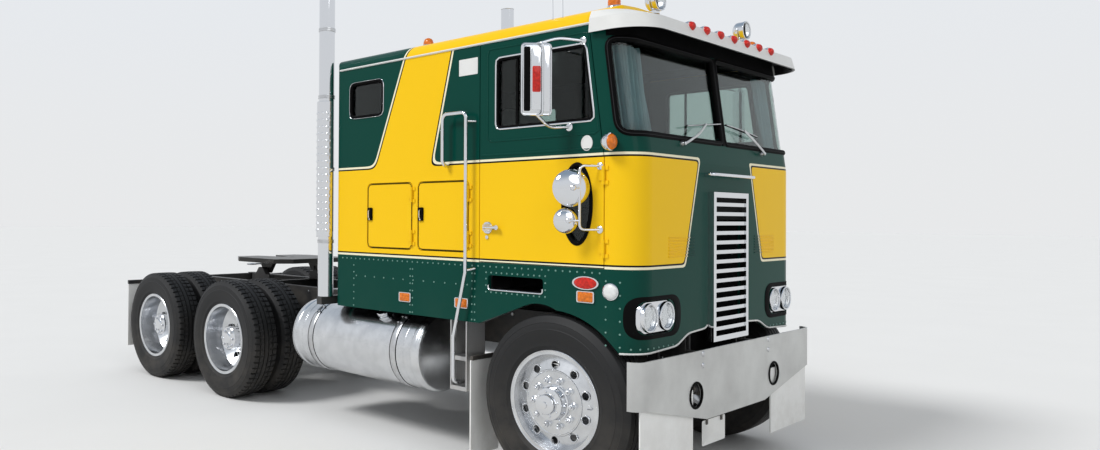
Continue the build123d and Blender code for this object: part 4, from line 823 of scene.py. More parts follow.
def bullet(radius, length, segments=24):
    """A bullet lamp along x: the bright body tapers to the rear by a cosine, the lens is domed ahead of its rim."""
    a = np.linspace(math.pi / 2, 0, 8)[1:]
    body = [(0, -0.55 * length), *((radius * math.cos(t) ** 0.8, -0.55 * length * math.sin(t)) for t in a),
            (radius * 1.05, 0.0), (radius * 1.05, 0.10 * length), (radius * 0.93, 0.12 * length), (0, 0.12 * length)]
    front = [(0, 0.1), (0.92, 0.10), (0.90, 0.20), (0.72, 0.34), (0.42, 0.42), (0, 0.45)]
    return turned(body, segments), turned([(radius * r, length * h) for r, h in front], segments)


def marker_pieces():
    """Rims, amber and red lenses of the right side's marker lamps."""
    skirt = rounded(rectangle(-0.062, 0.062, -0.035, 0.035), 0.012)
    rims, ambers = map(list, zip(*(flat_marker(skirt, x, z) for x, z in SKIRT_LAMPS)))
    rim, red = flat_marker(oval(0.093, 0.041), 0.231, 1.291)
    body, front = bullet(0.050, 0.086)
    centre = wall(0.417, 2.120, 0.046)
    rims += [rim, moved(body, centre), tube([wall(0.410, 2.120, -0.030), wall(0.410, 2.120, 0.040)], 0.016)]
    cap = [(0.039, 0.012), (0.038, 0.030), (0.034, 0.048), (0.026, 0.060), (0.012, 0.067), (0, 0.068)]
    roof_place = wall(-1.250, ROOF_TOP - 0.048, -ROOF_INSET)
    rims.append(turned(button(0.046, -0.012, 0.010, 0.041, 0.016), 32, "z", roof_place))
    ambers += [moved(front, centre), turned(cap, 32, "z", roof_place)]
    return pair(together(rims)), pair(together(ambers)), pair(red)


def visor_markers():
    """Seven bullet lamps along the visor, spaced evenly about its middle."""
    body, front = bullet(0.032, 0.094, 20)
    places = [np.array((front_at(DRIP) + 0.142, (i - 3) * 0.190, DRIP + 0.012)) for i in range(7)]
    stalks = [tube([place - (0.055, 0, 0.004), place - (0.030, 0, 0.002)], 0.018) for place in places]
    return together([copies(body, places)] + stalks), copies(front, places)


rims, ambers, reds = marker_pieces()
visor_bodies, visor_fronts = visor_markers()
make("marker_rims", together([rims, visor_bodies]), "cab", CHROME, "marker_lamps")
make("marker_lenses_amber", ambers, "cab", AMBER, "marker_lamps")
make("marker_lenses_red", together([reds, visor_fronts]), "cab", RED, "marker_lamps")


def headlamp_recess():
    """The black sunk shell: rings of a rounded outline that lie on the skin, then go in to a flat back."""
    outline = rectangle(-LAMP_Y[1] - RECESS, -LAMP_Y[0] + RECESS, LAMP_Z - RECESS, LAMP_Z + RECESS)
    outline = dense(rounded(outline, 0.085, 10), 0.012, closed=True)
    centre, half = outline.mean(0), np.array(((LAMP_Y[1] - LAMP_Y[0]) / 2 + RECESS, RECESS))
    rings = []
    for *grow, depth in ((0.070, 0.026, 0.0012), (0.066, 0.022, 0.0034), (0.004, 0.002, 0.0034),
                         (-0.001, -0.001, -0.004), (-0.006, -0.005, -0.058), (-0.090, -0.090, -RECESS_DEPTH)):
        y, z = (centre + (outline - centre) * (1 + grow / half)).T
        points = on_skin(-y, z, max(depth, 0.0))[0]
        if depth < 0:
            x = np.minimum(CAB_FRONT + depth, on_skin(-y, z, -0.004)[0][:, 0])
            points = np.stack([x, y, z], 1)
        rings.append(points)
    rings.append(np.tile((CAB_FRONT - RECESS_DEPTH, *centre), (len(outline), 1)))
    return grid_shape(rings, close_columns=True)


def lens_disc(radius, rows=12, segments=72):
    """A headlamp lens: a shallow dome, 0.010 high, whose face is fluted by a sine across its width."""
    r = np.linspace(0, radius, rows)[:, None]
    t = np.linspace(0, 2 * math.pi, segments, endpoint=False)[None]
    y, z = r * np.cos(t), r * np.sin(t)
    rise = 0.010 * (1 - (r / radius) ** 2) + 0 * t
    flutes = 0.0010 * np.sin(y * 2 * math.pi / 0.012) * (1 - (r / radius) ** 6)
    front, back = (np.stack([x, y, z], -1) for x in (0.004 + rise + flutes, 0.001 + rise))
    return grid_shape(np.concatenate([front, back[::-1]]), close_rows=True, close_columns=True)


def headlamp_housing():
    """The bright twin housing, an eight-cornered plate sunk in the shell, and its two bezels."""
    y0, y1, z0, z1 = LAMP_Y[0] - 0.088, LAMP_Y[1] + 0.088, LAMP_Z - 0.092, LAMP_Z + 0.092
    cy, cz = 0.038, 0.030
    outline = rounded([(y1, z0 + cz), (y1 - cy, z0), (y0 + cy, z0), (y0, z0 + cz), (y0, z1 - cz), (y0 + cy, z1),
                       (y1 - cy, z1), (y1, z1 - cz)], 0.035)
    points, faces = raised(outline, [(1.0, -0.058), (1.0, -0.020), (0.985, -0.012), (0.90, -0.010), (0.0, -0.010)])
    y, z, x = points.T
    ring = [(0.086, -0.012), (0.0865, 0.002), (0.084, 0.008), (0.079, 0.0095), (0.074, 0.006), (0.0725, -0.004),
            (0.0725, -0.012)]
    return together([(np.stack([x + CAB_FRONT, -y, z], 1), faces), copies(turned(ring, 56), LAMP_PLACES)])


LAMP_PLACES = [(CAB_FRONT, -y, LAMP_Z) for y in LAMP_Y]
bowl = turned([(0.072 * math.sqrt(t), -0.050 + 0.046 * t) for t in np.linspace(0, 1, 9)])
bulb = turned([(0, -0.020), (0.010, -0.022), (0.012, -0.030), (0.006, -0.045), (0, -0.045)], 20)
both("headlamp_recess", headlamp_recess(), "cab", SEAL, "headlamps", smooth=50)
both("headlamp_bezels", headlamp_housing(), "cab", CHROME, "headlamps")
both("headlamp_bowls", copies(together([bowl, bulb]), LAMP_PLACES), "cab", CHROME, "headlamps")
both("headlamp_lenses", copies(lens_disc(0.0735), LAMP_PLACES), "cab", CLEAR)

# The clear lamp on the corner beside the headlamp, the bare oval badge and the blank decal

corner_at, corner_way = on_skin(FLAT + CORNER * 1.47, 1.250)
corner_rim = [(0.050, -0.012), (0.050, 0.006), (0.046, 0.009), (0.043, 0.006), (0.043, -0.012)]
corner_glow = [(0.044, -0.010), (0.044, 0.006), (0.040, 0.012), (0.030, 0.017), (0.015, 0.020), (0, 0.021)]
both("corner_lamp_rim", facing(turned(corner_rim, 32, "z"), corner_at, corner_way), "cab", CHROME)
both("corner_lamp_lens", facing(turned(corner_glow, 32, "z"), corner_at, corner_way), "cab", MILKY)
badge = [(1, -0.001), (1, 0.003), (0.93, 0.0045), (0.86, 0.0030), (0.5, 0.0042), (0, 0.0046)]
badge = facing(raised(oval(0.040, 0.046), badge), wall(0.234, 2.126), SIDE_WAY)
both("door_badge", badge, "SIDE_door", WHITE)
decal = rounded(rectangle(-0.084, 0.084, -0.056, 0.056), 0.006)
decal = raised(decal, [(1, -0.0005), (1, 0.0006), (0.995, 0.0009), (0, 0.0009)])
both("bare_decal", facing(decal, wall(-0.707, 2.701), SIDE_WAY), "cab", WHITE)

# Roof lamps: a spot lamp, a beacon and thin aerials


def roof_pieces():
    """The right side's spot lamp with its yoke and lens, and its beacon."""
    place = at(0.430, -0.610, ROOF_TOP + 0.054)
    behind = place - (0.050, 0, 0)
    quarter = np.linspace(0, math.pi / 2, 8)[1:]
    can = [(0, -0.100), *((0.064 * math.sin(t), -0.058 - 0.042 * math.cos(t)) for t in quarter),
           (0.0645, -0.012), (0.068, -0.010), (0.068, -0.002), (0.064, 0.0), (0.058, -0.003), (0.056, -0.014),
           *((0.056 * math.sqrt(t), -0.044 + 0.030 * t) for t in (0.8, 0.5, 0.25, 0.1, 0.0))]
    stalk = tube([behind - (0, 0, 0.150), behind - (0, 0, 0.062)], [0.016, 0.012], 16)
    half = [(0, 0.068, 0), (0, 0.072, -0.035), (0, 0.040, -0.068)]
    yoke = [behind + p for p in half] + [behind + (x, -y, z) for x, y, z in half[::-1]]
    yoke = strip(rounded(yoke, 0.02, 6, closed=False), (1, 0, 0), 0.018, 0.004)
    knobs = [turned(button(0.011, -0.004, 0.006, 0.008, 0.010), 14, "y", behind + (0, y, 0)) for y in (-0.070, 0.070)]
    foot = turned(button(0.036, -0.012, 0.006, 0.024, 0.014), 28, "z", behind - (0, 0, 0.070))
    front, back = [(0.059, -0.004), (0.048, 0.001), (0.030, 0.0035), (0, 0.0045)], [(0.059, -0.004), (0.0, -0.006)]
    glass = together([turned(profile, 40, "x", place) for profile in (front, back)])
    base = [(0, -0.035), (0.046, -0.035), (0.0475, 0.012), (0.044, 0.022), (0.040, 0.026), (0, 0.026)]
    dome = [(0.0385, 0.022), (0.0385, 0.052), (0.036, 0.068), (0.029, 0.080), (0.018, 0.087), (0, 0.0895)]
    base, dome = (turned(profile, 40, "z", wall(0.310, ROOF_TOP - 0.050, -ROOF_INSET)) for profile in (base, dome))
    return together([turned(can, 48, "x", place), stalk, yoke, foot, base] + knobs), glass, dome


def aerial(x, height, lean):
    """A thin whip: a spring at its foot and a rod that narrows upwards, bent over with the square of height."""
    foot = wall(x, DRIP + 0.020, -0.050)
    t = np.linspace(0, 1, 14)
    whip = tube(np.stack([-lean * t ** 2, 0 * t, 0.060 + height * t], 1) + foot, 0.0030 - 0.0014 * t, 8)
    a = np.linspace(0, 8 * 2 * math.pi, 97)
    spring = tube(np.stack([0.006 * np.cos(a), 0.006 * np.sin(a), 0.018 + 0.042 * a / a[-1]], 1) + foot, 0.0018, 6)
    base = turned(button(0.014, -0.02, 0.012, 0.008, 0.020), 18, "z", foot)
    return together([whip, spring, base, slab(foot - (0.012, 0.0, 0.050), foot + (0.012, 0.012, 0.002))])


roof_bright, roof_lens, roof_amber = roof_pieces()
make("roof_lamp_bodies", pair(roof_bright), "cab", CHROME, "roof_lamps")
make("roof_lamp_lenses", pair(roof_lens), "cab", CLEAR, "roof_lamps")
make("roof_beacons", pair(roof_amber), "cab", AMBER, "roof_lamps")
make("aerials", together([aerial(-0.050, 0.66, 0.05), aerial(0.024, 0.60, 0.04)]), "cab", CHROME)

# Windshield: rubber seals, the insert that runs in them and the divider

SCREEN = rectangle(0.022, 1.149, 2.172, DRIP - 0.105)
DIVIDER_X, DIVIDER_Z = front_at(2.45), 2.45
seal = skin_bead(rounded(SCREEN, (0.030, 0.085, 0.060, 0.030), 9), 0.036, 0.011, root=0.012)
insert = skin_bead(rounded(grown(SCREEN, 0.002), (0.031, 0.087, 0.062, 0.031), 9), 0.005, 0.0035, out=0.0095)
pillar, pillar_faces = slab((DIVIDER_X - 0.010, -0.021, 2.160), (DIVIDER_X + 0.008, 0.021, DRIP - 0.094))
pillar[:, 0] -= (pillar[:, 2] - DIVIDER_Z) * LEAN
make("windshield_seals", pair(seal), "cab", SEAL)
make("windshield_inserts", pair(insert), "cab", TRIM)
make("windshield_divider", (pillar, pillar_faces), "cab", SEAL)

# Doors and sleeper windows: bright frames, rubber, pressings and the porthole's seal


def leaning(back, front, bottom, top):
    """A four-cornered outline whose front edge leans back as the windshield does."""
    return [(back, bottom), (front, bottom), (front - (top - bottom) * LEAN, top), (back, top)]


WINDOW_TOP, GLASS_DEPTH = DRIP - 0.118, 0.012
WINDOW = leaning(-0.460, 0.282, 2.263, WINDOW_TOP)
SLEEPER = rectangle(-1.930, -1.560, 2.452, DRIP - 0.125)
PORT = oval(0.099, 0.239, 64) + (0.165, 1.763)
rail_path, divider_path = [(-0.455, 2.270), (0.276, 2.270)], [(-0.299, 2.262), (-0.299, WINDOW_TOP + 0.001)]
window_rail = strip(on_side(rail_path, GLASS_DEPTH), (0, 0, 1), 0.014, 0.010)
window_divider = strip(on_side(divider_path, GLASS_DEPTH), (1, 0, 0), 0.020, 0.010)
port_seal = bead(on_side(PORT), SIDE_WAY, 0.026, 0.009, closed=True, root=0.014)
pressing = side_bead(leaning(-0.533, 0.318, 2.180, DRIP - 0.050), 0.02, 0.012, 0.0040, step=0.04)
sill = bead(on_side([(-0.586, 2.090), (0.330, 2.090)]), SIDE_WAY, 0.016, 0.004)
window_frame = side_bead(grown(WINDOW, 0.006), 0.036, 0.013, 0.006)
window_seal = side_bead(grown(WINDOW, -0.006), 0.030, 0.018, 0.003, root=0.016)
both("door_window_frame", together([window_frame, window_rail]), "SIDE_door", CHROME)
both("door_seals", together([window_seal, port_seal, window_divider]), "SIDE_door", SEAL)
both("door_pressing", together([pressing, sill]), "SIDE_door", PAINT)
both("sleeper_seal", side_bead(SLEEPER, 0.050, 0.026, 0.008, root=0.014), "cab", SEAL)
both("sleeper_frame", side_bead(grown(SLEEPER, 0.010), 0.056, 0.006, 0.007), "cab", CHROME)

# Cab trim: drip rail, the front's pale lower edge, toe hold lip, rivets and louvres

HOLD = (-0.525, -0.081, 1.203, 1.298)
LOWER_EDGE = [(1.1534, 0.894), (1.0, 0.894), (0.65, 0.909), (0.505, 0.973), (0.285, 0.985), (0.258, 1.002)]


def rivets():
    """Rows of rivets: under the low line, round the toe hold, up the seams, and along the front's lower edge."""
    x, x_mid = np.arange(CAB_TAIL + 0.10, 0.36, 0.052), np.arange(-1.85, -0.62, 0.104)
    z, z_arch, z_seam = np.arange(0.990, 1.330, 0.052), np.arange(0.935, 1.345, 0.075), np.arange(0.93, 1.34, 0.075)
    rows = [np.c_[x, 0 * x + LOW_LINE - 0.026], dense(grown(rectangle(*HOLD), 0.017), 0.044, closed=True)]
    rows += [np.c_[0 * z + seam, z] for seam in (-0.640, -0.665, -1.232, -1.256, -1.880)]
    rows += [np.c_[0 * z_arch + 0.366, z_arch], np.c_[x_mid, 0 * x_mid + 1.222]]
    places = on_side(np.concatenate(rows))
    s = np.arange(0.696, 1.13, 0.056)
    lower, lower_way = on_skin(s, 0.921 + 0 * s)
    seam, seam_way = on_skin(0 * z_seam + 1.150, z_seam)
    ways = np.broadcast_to(SIDE_WAY, places.shape)
    return domes_at(np.concatenate([places, lower, seam]), np.concatenate([ways, lower_way, seam_way]), 0.0065, 0.0042)


u0, u1, v0 = HOLD[0] + 0.004, HOLD[1] - 0.004, HOLD[2]
hold_lip = rounded([(u0, v0 + 0.03), (u0, v0), (u1, v0), (u1, v0 + 0.03)], 0.02, 6, closed=False)
louvres = [skin_bead([(0.43, z), (0.75, z)], 0.0085, 0.0050, step=0.03, closed=False)
           for z in 1.448 + 0.0190 * np.arange(7)]
drip_path = dense([(CAB_TAIL + 0.055, DRIP + 0.001), (0.255, DRIP + 0.001)], 0.1)
both("drip_rail", bead(on_side(drip_path), SIDE_WAY, 0.015, 0.011), "cab", WHITE)
both("lower_trim", skin_bead(rounded(LOWER_EDGE, 0.04, 6, closed=False), 0.012, 0.006, closed=False), "cab", WHITE)
both("toe_hold_lip", bead(on_side(hold_lip), SIDE_WAY, 0.012, 0.008), "cab", CHROME)
both("skirt_rivets", rivets(), "cab", RIVET_HEADS)
both("louvres", together(louvres), "cab", PAINT)

# Grille core and backing, cooler fins, a black sheet of painted shade on the header under the visor, and wipers


def fins(width, count, pitch, depth, x, rows):
    """A thin upright slab whose rows marked 1 vary in depth by a fine sine across its width."""
    y = np.linspace(-width, width, count)
    wave = depth * np.sin(y * 2 * math.pi / pitch)
    rings = [np.stack([x + back + front * wave, y, 0 * y + z], -1) for z, back, front in rows]
    return grid_shape(rings, close_rows=True)


def wiper():
    """One wiper: a boss on the cab, a bent flat arm, and a spine that holds the blade against the glass."""
    bends = [(0.571, 2.140, 0.026), (0.545, 2.150, 0.034), (0.400, 2.212, 0.044), (0.275, 2.282, 0.034)]
    hub = [(0, -0.004), (0.017, -0.004), (0.017, 0.010), (0.012, 0.020), (0.012, 0.030), (0.008, 0.034), (0, 0.034)]
    hub = turned(hub, 20, "x", on_skin(*bends[0][:2])[0])
    arm = strip(rounded([on_skin(*bend)[0] for bend in bends], 0.03, 6, closed=False), (1, 0, -0.13), 0.005, 0.017)
    start, end = on_skin(0.507, 2.254, 0.020)[0], on_skin(0.040, 2.302, 0.020)[0]
    t = np.linspace(0, 1, 9)[:, None]
    spine = tube(start * (1 - t) + end * t + np.array((0.010, 0, 0)) * (4 * t * (1 - t)), 0.0034, 8)
    holds = [start * (1 - share) + end * share for share in (0.14, 0.5, 0.86)]
    clips = [tube([hold + (0.008, 0, 0), hold - (0.006, 0, 0)], 0.005, 8) for hold in holds]
    blade = strip(np.stack([start, (start + end) / 2, end]) - (0.005, 0, 0), (1, 0, 0), 0.016, 0.009)
    return together([hub, arm, spine] + clips), blade


core_rows = [(0.892, 0.0, 1), (1.678, 0.0, 1), (1.678, -0.012, 1), (0.892, -0.012, 1)]
cooler_rows = [(0.765, 0.0022, 1), (1.310, 0.0022, 1), (1.310, -0.001, 0), (0.765, -0.001, 0)]
make("grille_core", fins(0.218, 437, 0.0109, 0.0035, CAB_FRONT - 0.020, core_rows), "cab", SEAL)
make("cooler_fins", fins(0.320, 641, 0.0100, 0.0018, FRONT_AXLE + 0.4805, cooler_rows), "chassis", SEAL)
backing = slab((CAB_FRONT + 0.0004, -0.243, 1.672), (CAB_FRONT + 0.0030, 0.243, 1.845), 0.001)
make("grille_backing", backing, "cab", SEAL)
# A black sheet over the band between the windshield and the visor: painted shade where the visor's shadow falls.
s, header_low, header_high = np.linspace(0, 1.150, 56), DRIP - 0.088, DRIP + 0.036
header_rows = [(header_low, -0.004), (header_low, 0.0035), (header_high, 0.0035), (header_high, -0.004)]
header_shade_sheet = grid_shape([on_skin(s, 0 * s + z, out)[0] for z, out in header_rows], close_rows=True)
make("visor_header_painted_shade", pair(header_shade_sheet), "cab", SEAL)
wiper_arm, wiper_blade = wiper()
make("wiper_arms", pair(wiper_arm), "cab", BRIGHT_STEEL)
make("wiper_blades", pair(wiper_blade), "cab", SEAL)

# Door handles, and the latches and edging of the lockers

LOCKER_SPANS = {"front": (-1.180, -0.700), "back": (-1.722, -1.242)}


def door_handle():
    """A dished round plate with a bar handle across it, and the key barrel under it."""
    dish = boss([(0, 0.004), (0.022, 0.005), (0.031, 0.011), (0.037, 0.011), (0.041, 0.006), (0.041, -0.001)], 36,
                wall(-0.530, 1.611))
    base = slab(wall(-0.563, 1.587, 0.0165), wall(-0.497, 1.635, -0.001), 0.007)
    bar = slab(wall(-0.549, 1.6005, 0.036), wall(-0.424, 1.6255, 0.012), 0.008)
    a = np.linspace(0, math.pi / 2, 5)
    tip = turned([(0, 0), *zip(0.0155 * np.cos(a), 0.009 * np.sin(a))], 16, "y", wall(-0.432, 1.613, 0.035))
    barrel = boss([(0, 0.006), (0.007, 0.006), (0.009, 0.008), (0.013, 0.008), (0.014, -0.001)], 20,
                  wall(-0.532, 1.548))
    return together([dish, base, bar, tip, barrel])


both("door_handle", door_handle(), "SIDE_door", CHROME)
for which, (back, front) in LOCKER_SPANS.items():
    x, body = back + 0.0325, f"SIDE_{which}_locker"
    latch = rod([wall(x, z, out) for z, out in ((1.670, 0.012), (1.676, 0.023), (1.724, 0.023), (1.730, 0.012))],
                0.006, 0.0045, 10)
    lock = boss([(0, 0.017), (0.006, 0.017), (0.0075, 0.014), (0.0075, 0.010)], 16, wall(x, 1.661))
    edging = side_bead(rectangle(back + 0.004, front - 0.004, 1.449, 1.924), 0.033, 0.0065, 0.0022, root=0.001)
    latch_plate = slab(wall(x - 0.023, 1.652, 0.0145), wall(x + 0.023, 1.748, -0.001), 0.005)
    both("latch_plate_" + which, latch_plate, body, SEAL)
    both("latch_handle_" + which, together([latch, lock]), body, CHROME)
    both("locker_edging_" + which, edging, body, SEAL)

# Bumper: bolts, lips of the tow holes and the blank plate on its straps

BUMPER_FACE, TOW_HOLE, PLATE_AT, STRAPS_Y = high("bumper")[0], (0.560, 0.610), (-0.2975, 0.356), (-0.395, -0.200)
tow_lip = [(0.0695, -0.006), (0.0695, 0.003), (0.0725, 0.0065), (0.0800, 0.0065), (0.0835, 0.003), (0.0840, -0.001)]
tow_lip = turned(tow_lip, 48, "x", (BUMPER_FACE, -TOW_HOLE[0], TOW_HOLE[1]))
plate = raised(rounded(rectangle(-0.1525, 0.1525, -0.0775, 0.0775), 0.012),
               [(0, -0.001), (1, -0.001), (1, 0.0022), (0.975, 0.0026), (0.960, 0.0010), (0, 0.0010)])
straps = [slab((BUMPER_FACE - 0.0150, y - 0.012, 0.405), (BUMPER_FACE - 0.0105, y + 0.012, 0.540), 0.0015)
          for y in STRAPS_Y]
strap_bolts = domes_at([(BUMPER_FACE - 0.0115, y, 0.418) for y in STRAPS_Y], (1, 0, 0), 0.007, 0.005, 10)
bumper_bolts = [(BUMPER_FACE, y, z) for y in (-0.472, 0.472) for z in (0.852, 0.782)]
make("bumper_bolts", domes_at(bumper_bolts, (1, 0, 0), 0.0175, 0.009, 16), "chassis", BRIGHT_STEEL)
make("tow_hole_lips", pair(tow_lip), "chassis", SEAL)
make("blank_plate", facing(plate, (BUMPER_FACE - 0.018, *PLATE_AT), (1, 0, 0)), "chassis", WHITE)
make("blank_plate_straps", together(straps + [strap_bolts]), "chassis", FRAME_BLACK)

# Fuel tanks: domed ends, rolled end bands, straps on rubber, and filler caps

TANK_LOW, TANK_HIGH = low("fuel_tanks"), high("fuel_tanks")
TANK_R = (TANK_HIGH[2] - TANK_LOW[2]) / 2
TANK_AXIS = np.array((0, TANK_R - TANK_HIGH[1], TANK_LOW[2] + TANK_R))


def hoop(x, radius, width, height):
    """A band round the tank: a raised strip carried along the circle (cos t, sin t)."""
    out = np.c_[np.zeros(72), oval(1, 1, 72)]
    return bead(out * radius + TANK_AXIS + (x, 0, 0), out, width, height, closed=True, root=0.001)


def strap_fixings(x):
    """The strap's joint, high on the tank's outer side: two cross pins and the bolt that draws them together."""
    out, along = np.array(((0, -math.cos(0.9), math.sin(0.9)), (0, math.sin(0.9), math.cos(0.9))))
    centre = TANK_AXIS + (x, 0, 0) + out * (TANK_R + 0.006)
    pins = [centre - along * 0.030, centre + along * 0.030]
    pins = [tube([pin - (0.026, 0, 0), pin + (0.026, 0, 0)], 0.0085) for pin in pins]
    bolt = centre + out * 0.006
    return together(pins + [tube([bolt - along * 0.055, bolt + along * 0.055], 0.006, 10)])


def tank_ends():
    """Both ends: a dome whose height falls with the square of the radius, and two rolled bands beside it."""
    ends, edge = [], TANK_R - 0.024
    for x, way in ((TANK_HIGH[0], 1), (TANK_LOW[0], -1)):
        dome = [(r, way * (0.0008 + 0.024 * (1 - (r / edge) ** 2))) for r in np.linspace(edge, 0, 9)]
        ends += [turned([(edge + 0.002, -0.004 * way)] + dome, 64, "x", TANK_AXIS + (x, 0, 0)),
                 hoop(x - way * 0.052, TANK_R, 0.050, 0.0045), hoop(x - way * 0.150, TANK_R, 0.010, 0.0022)]
    return together(ends)


STRAPS_X = (FRONT_AXLE - 1.420, FRONT_AXLE - 2.400)
CAP_WAY = np.array((0, -math.cos(math.radians(58)), math.sin(math.radians(58))))
CAP_AT = TANK_AXIS + (FRONT_AXLE - 1.640, 0, 0) + CAP_WAY * TANK_R
cap = turned([(0.058, -0.012), (0.058, 0.004), (0.050, 0.008), (0.046, 0.012), (0.046, 0.020), (0.055, 0.022),
              (0.057, 0.026), (0.057, 0.040), (0.053, 0.045), (0.020, 0.047), (0, 0.047)], 48, "z")
cap = together([cap, slab((-0.046, -0.006, 0.044), (0.046, 0.006, 0.058), 0.004)])
tank_straps = [hoop(x, TANK_R + 0.0020, 0.056, 0.0042) for x in STRAPS_X] + [strap_fixings(x) for x in STRAPS_X]
both("tank_ends", tank_ends(), "chassis", POLISHED, smooth=50)
both("tank_straps", together(tank_straps), "chassis", BRIGHT_STEEL)
both("tank_rubbers", together([hoop(x, TANK_R, 0.074, 0.0030) for x in STRAPS_X]), "chassis", SEAL)
both("tank_cap", facing(cap, CAP_AT, CAP_WAY), "chassis", CHROME)

# Stacks: clamps and rolled tips, and a heat guard with pressed dimples

STACK_LOW, STACK_HIGH = low("stacks"), high("stacks")
STACK_R = (STACK_HIGH[0] - STACK_LOW[0]) / 2
STACK_PLACE = np.array(((STACK_HIGH[0] + STACK_LOW[0]) / 2, STACK_R - STACK_HIGH[1], 0))


def stack_clamps():
    """Four ribbed bands, each with a split lug behind it and the lug's bolt, and the rolled tip."""
    shapes = []
    ribs = [(-0.001, -0.015), (0.004, -0.014), (0.005, -0.006), (0.0035, 0), (0.005, 0.006), (0.004, 0.014),
            (-0.001, 0.015)]
    for z in (1.480, 2.060, 2.640, 3.180):
        lug = STACK_PLACE + (-STACK_R - 0.011, 0, z)
        shapes += [turned([(STACK_R + r, h) for r, h in ribs], 40, "z", STACK_PLACE + (0, 0, z)),
                   slab(lug - (0.010, 0.004, 0.013), lug + (0.012, -0.001, 0.013), 0.001),
                   slab(lug - (0.010, -0.001, 0.013), lug + (0.012, 0.004, 0.013), 0.001),
                   tube([lug - (0.003, 0.011, 0), lug + (-0.003, 0.011, 0)], 0.0045, 8)]
    tip = [(-0.0045, -0.030), (-0.0045, -0.0005), (0.0015, 0.0), (0.002, -0.004), (0, -0.008)]
    shapes.append(turned([(STACK_R + r, h) for r, h in tip], 48, "z", STACK_PLACE + (0, 0, STACK_HIGH[2])))
    return together(shapes)


def stack_guard():
    """The guard: a bent sheet over 170 degrees of the pipe, rows of dimples on it, and the legs that hold it."""
    sheet = [(0.014, 1.520), (0.014, 2.600), (0.0125, 2.602), (0.0125, 1.518), (0.014, 1.520)]
    sheet = turned([(STACK_R + r, z) for r, z in sheet], 32, "z", STACK_PLACE, math.radians(190), math.radians(170))
    angle = np.radians((205, 235, 265, 295, 325, 345))
    ways, rows = np.stack([np.cos(angle), np.sin(angle), 0 * angle], 1), np.arange(1.570, 2.560, 0.055)
    spots = (ways[None] * (STACK_R + 0.0138) + STACK_PLACE + rows[:, None, None] * np.array((0, 0, 1))).reshape(-1, 3)
    dimples = domes_at(spots, np.tile(ways, (len(rows), 1)), 0.0105, 0.0040, 10)
    legs = [tube([STACK_PLACE + (r * math.cos(a), r * math.sin(a), z) for r in (STACK_R, STACK_R + 0.013)], 0.005, 8)
            for z in (1.600, 2.500) for a in np.radians((215, 325))]
    return together([sheet, dimples] + legs)


both("stack_clamps", stack_clamps(), "chassis", BRIGHT_STEEL)
both("stack_guard", stack_guard(), "chassis", CHROME)

# Tail lamps, frame bolts and the fifth wheel's release rod

TAIL_LAMPS = [(low("tail_lamps")[0], y, 0.880) for y in (-0.390, -0.520, 0.390, 0.520)]
tail_rim = [(0.0485, 0.004), (0.0485, -0.010), (0.0510, -0.014), (0.0545, -0.012), (0.0560, -0.002), (0.0560, 0.010)]
tail_glow = [(r, -0.002 - 0.013 * math.sqrt(max(0.0, 1 - (r / 0.0490) ** 2))) for r in np.linspace(0.0490, 0, 8)]
make("tail_lamp_rims", copies(turned(tail_rim, 36), TAIL_LAMPS), "chassis", SEAL)
make("tail_lamp_lenses", copies(turned([(0, 0.0)] + tail_glow, 36), TAIL_LAMPS), "chassis", RED)
bolt_places = [at(x + dx, -0.430, z) for x in (0.300, -1.250, -1.950, -2.900, -4.300, -5.480)
               for dx in (-0.045, 0.045) for z in (0.785, 0.865, 0.945)]
bolt_places += [at(x, -0.430, z) for x in np.arange(-5.2, -0.5, 0.31) for z in (0.770, 0.960)]
make("frame_bolts", pair(copies(nut(0.0125, 0.010), bolt_places)), "chassis", BRIGHT_STEEL)
rod_at = np.array((middle("fifth_wheel_plate")[0] + 0.120, 0, high("fifth_wheel_plate")[2] - 0.052))
rod_path = [(0, -0.200), (0, -0.520), (-0.030, -0.560), (-0.030, -0.620), (0.030, -0.620), (0.030, -0.560),
            (0.004, -0.525)]
make("release_rod", rod([rod_at + (x, y, 0) for x, y in rod_path], 0.02, 0.0075, 10), "fifth_wheel", BRIGHT_STEEL)

# Cab's inside: gauges, curtains, seats and the bunk


def gauges():
    """Five round gauges on the dashboard's sloping face: bright rims, dark dials and a pale needle each."""
    shapes = [], [], []
    for i, y in enumerate(np.linspace(0.440, 0.880, 5)):
        r, a = 0.036 if i in (1, 2, 3) else 0.030, 0.6 + 0.9 * i
        rim = [(r - 0.004, 0.002), (r - 0.003, 0.007), (r, 0.008), (r + 0.002, 0.005), (r + 0.002, -0.003)]
        tip, aside = r * 0.66 * np.array((math.cos(a), math.sin(a))), 0.002 * np.array((-math.sin(a), math.cos(a)))
        needle = raised([-0.15 * tip, aside, tip, -aside], [(1, 0.0026), (1, 0.0040), (0.2, 0.0042), (0, 0.0042)])
        dial = raised(oval(r - 0.003, r - 0.003, 32), [(1, -0.002), (1, 0.002), (0, 0.0025)])
        for kept, shape in zip(shapes, (turned(rim, 32, "z"), dial, needle)):
            kept.append(facing(shape, at(0.308, y, 2.0500), (-0.882, 0, 0.470)))
    return map(together, shapes)


for name, shape, finish in zip(("gauge_rims", "gauge_dials", "gauge_needles"), gauges(), (CHROME, SEAL, WHITE)):
    make(name, shape, "cab", finish)

CURTAIN_IN, CURTAIN_SPAN, CURTAIN_Z, FOLD = -0.088, (0.790, 1.135), (2.205, 2.712), 0.048


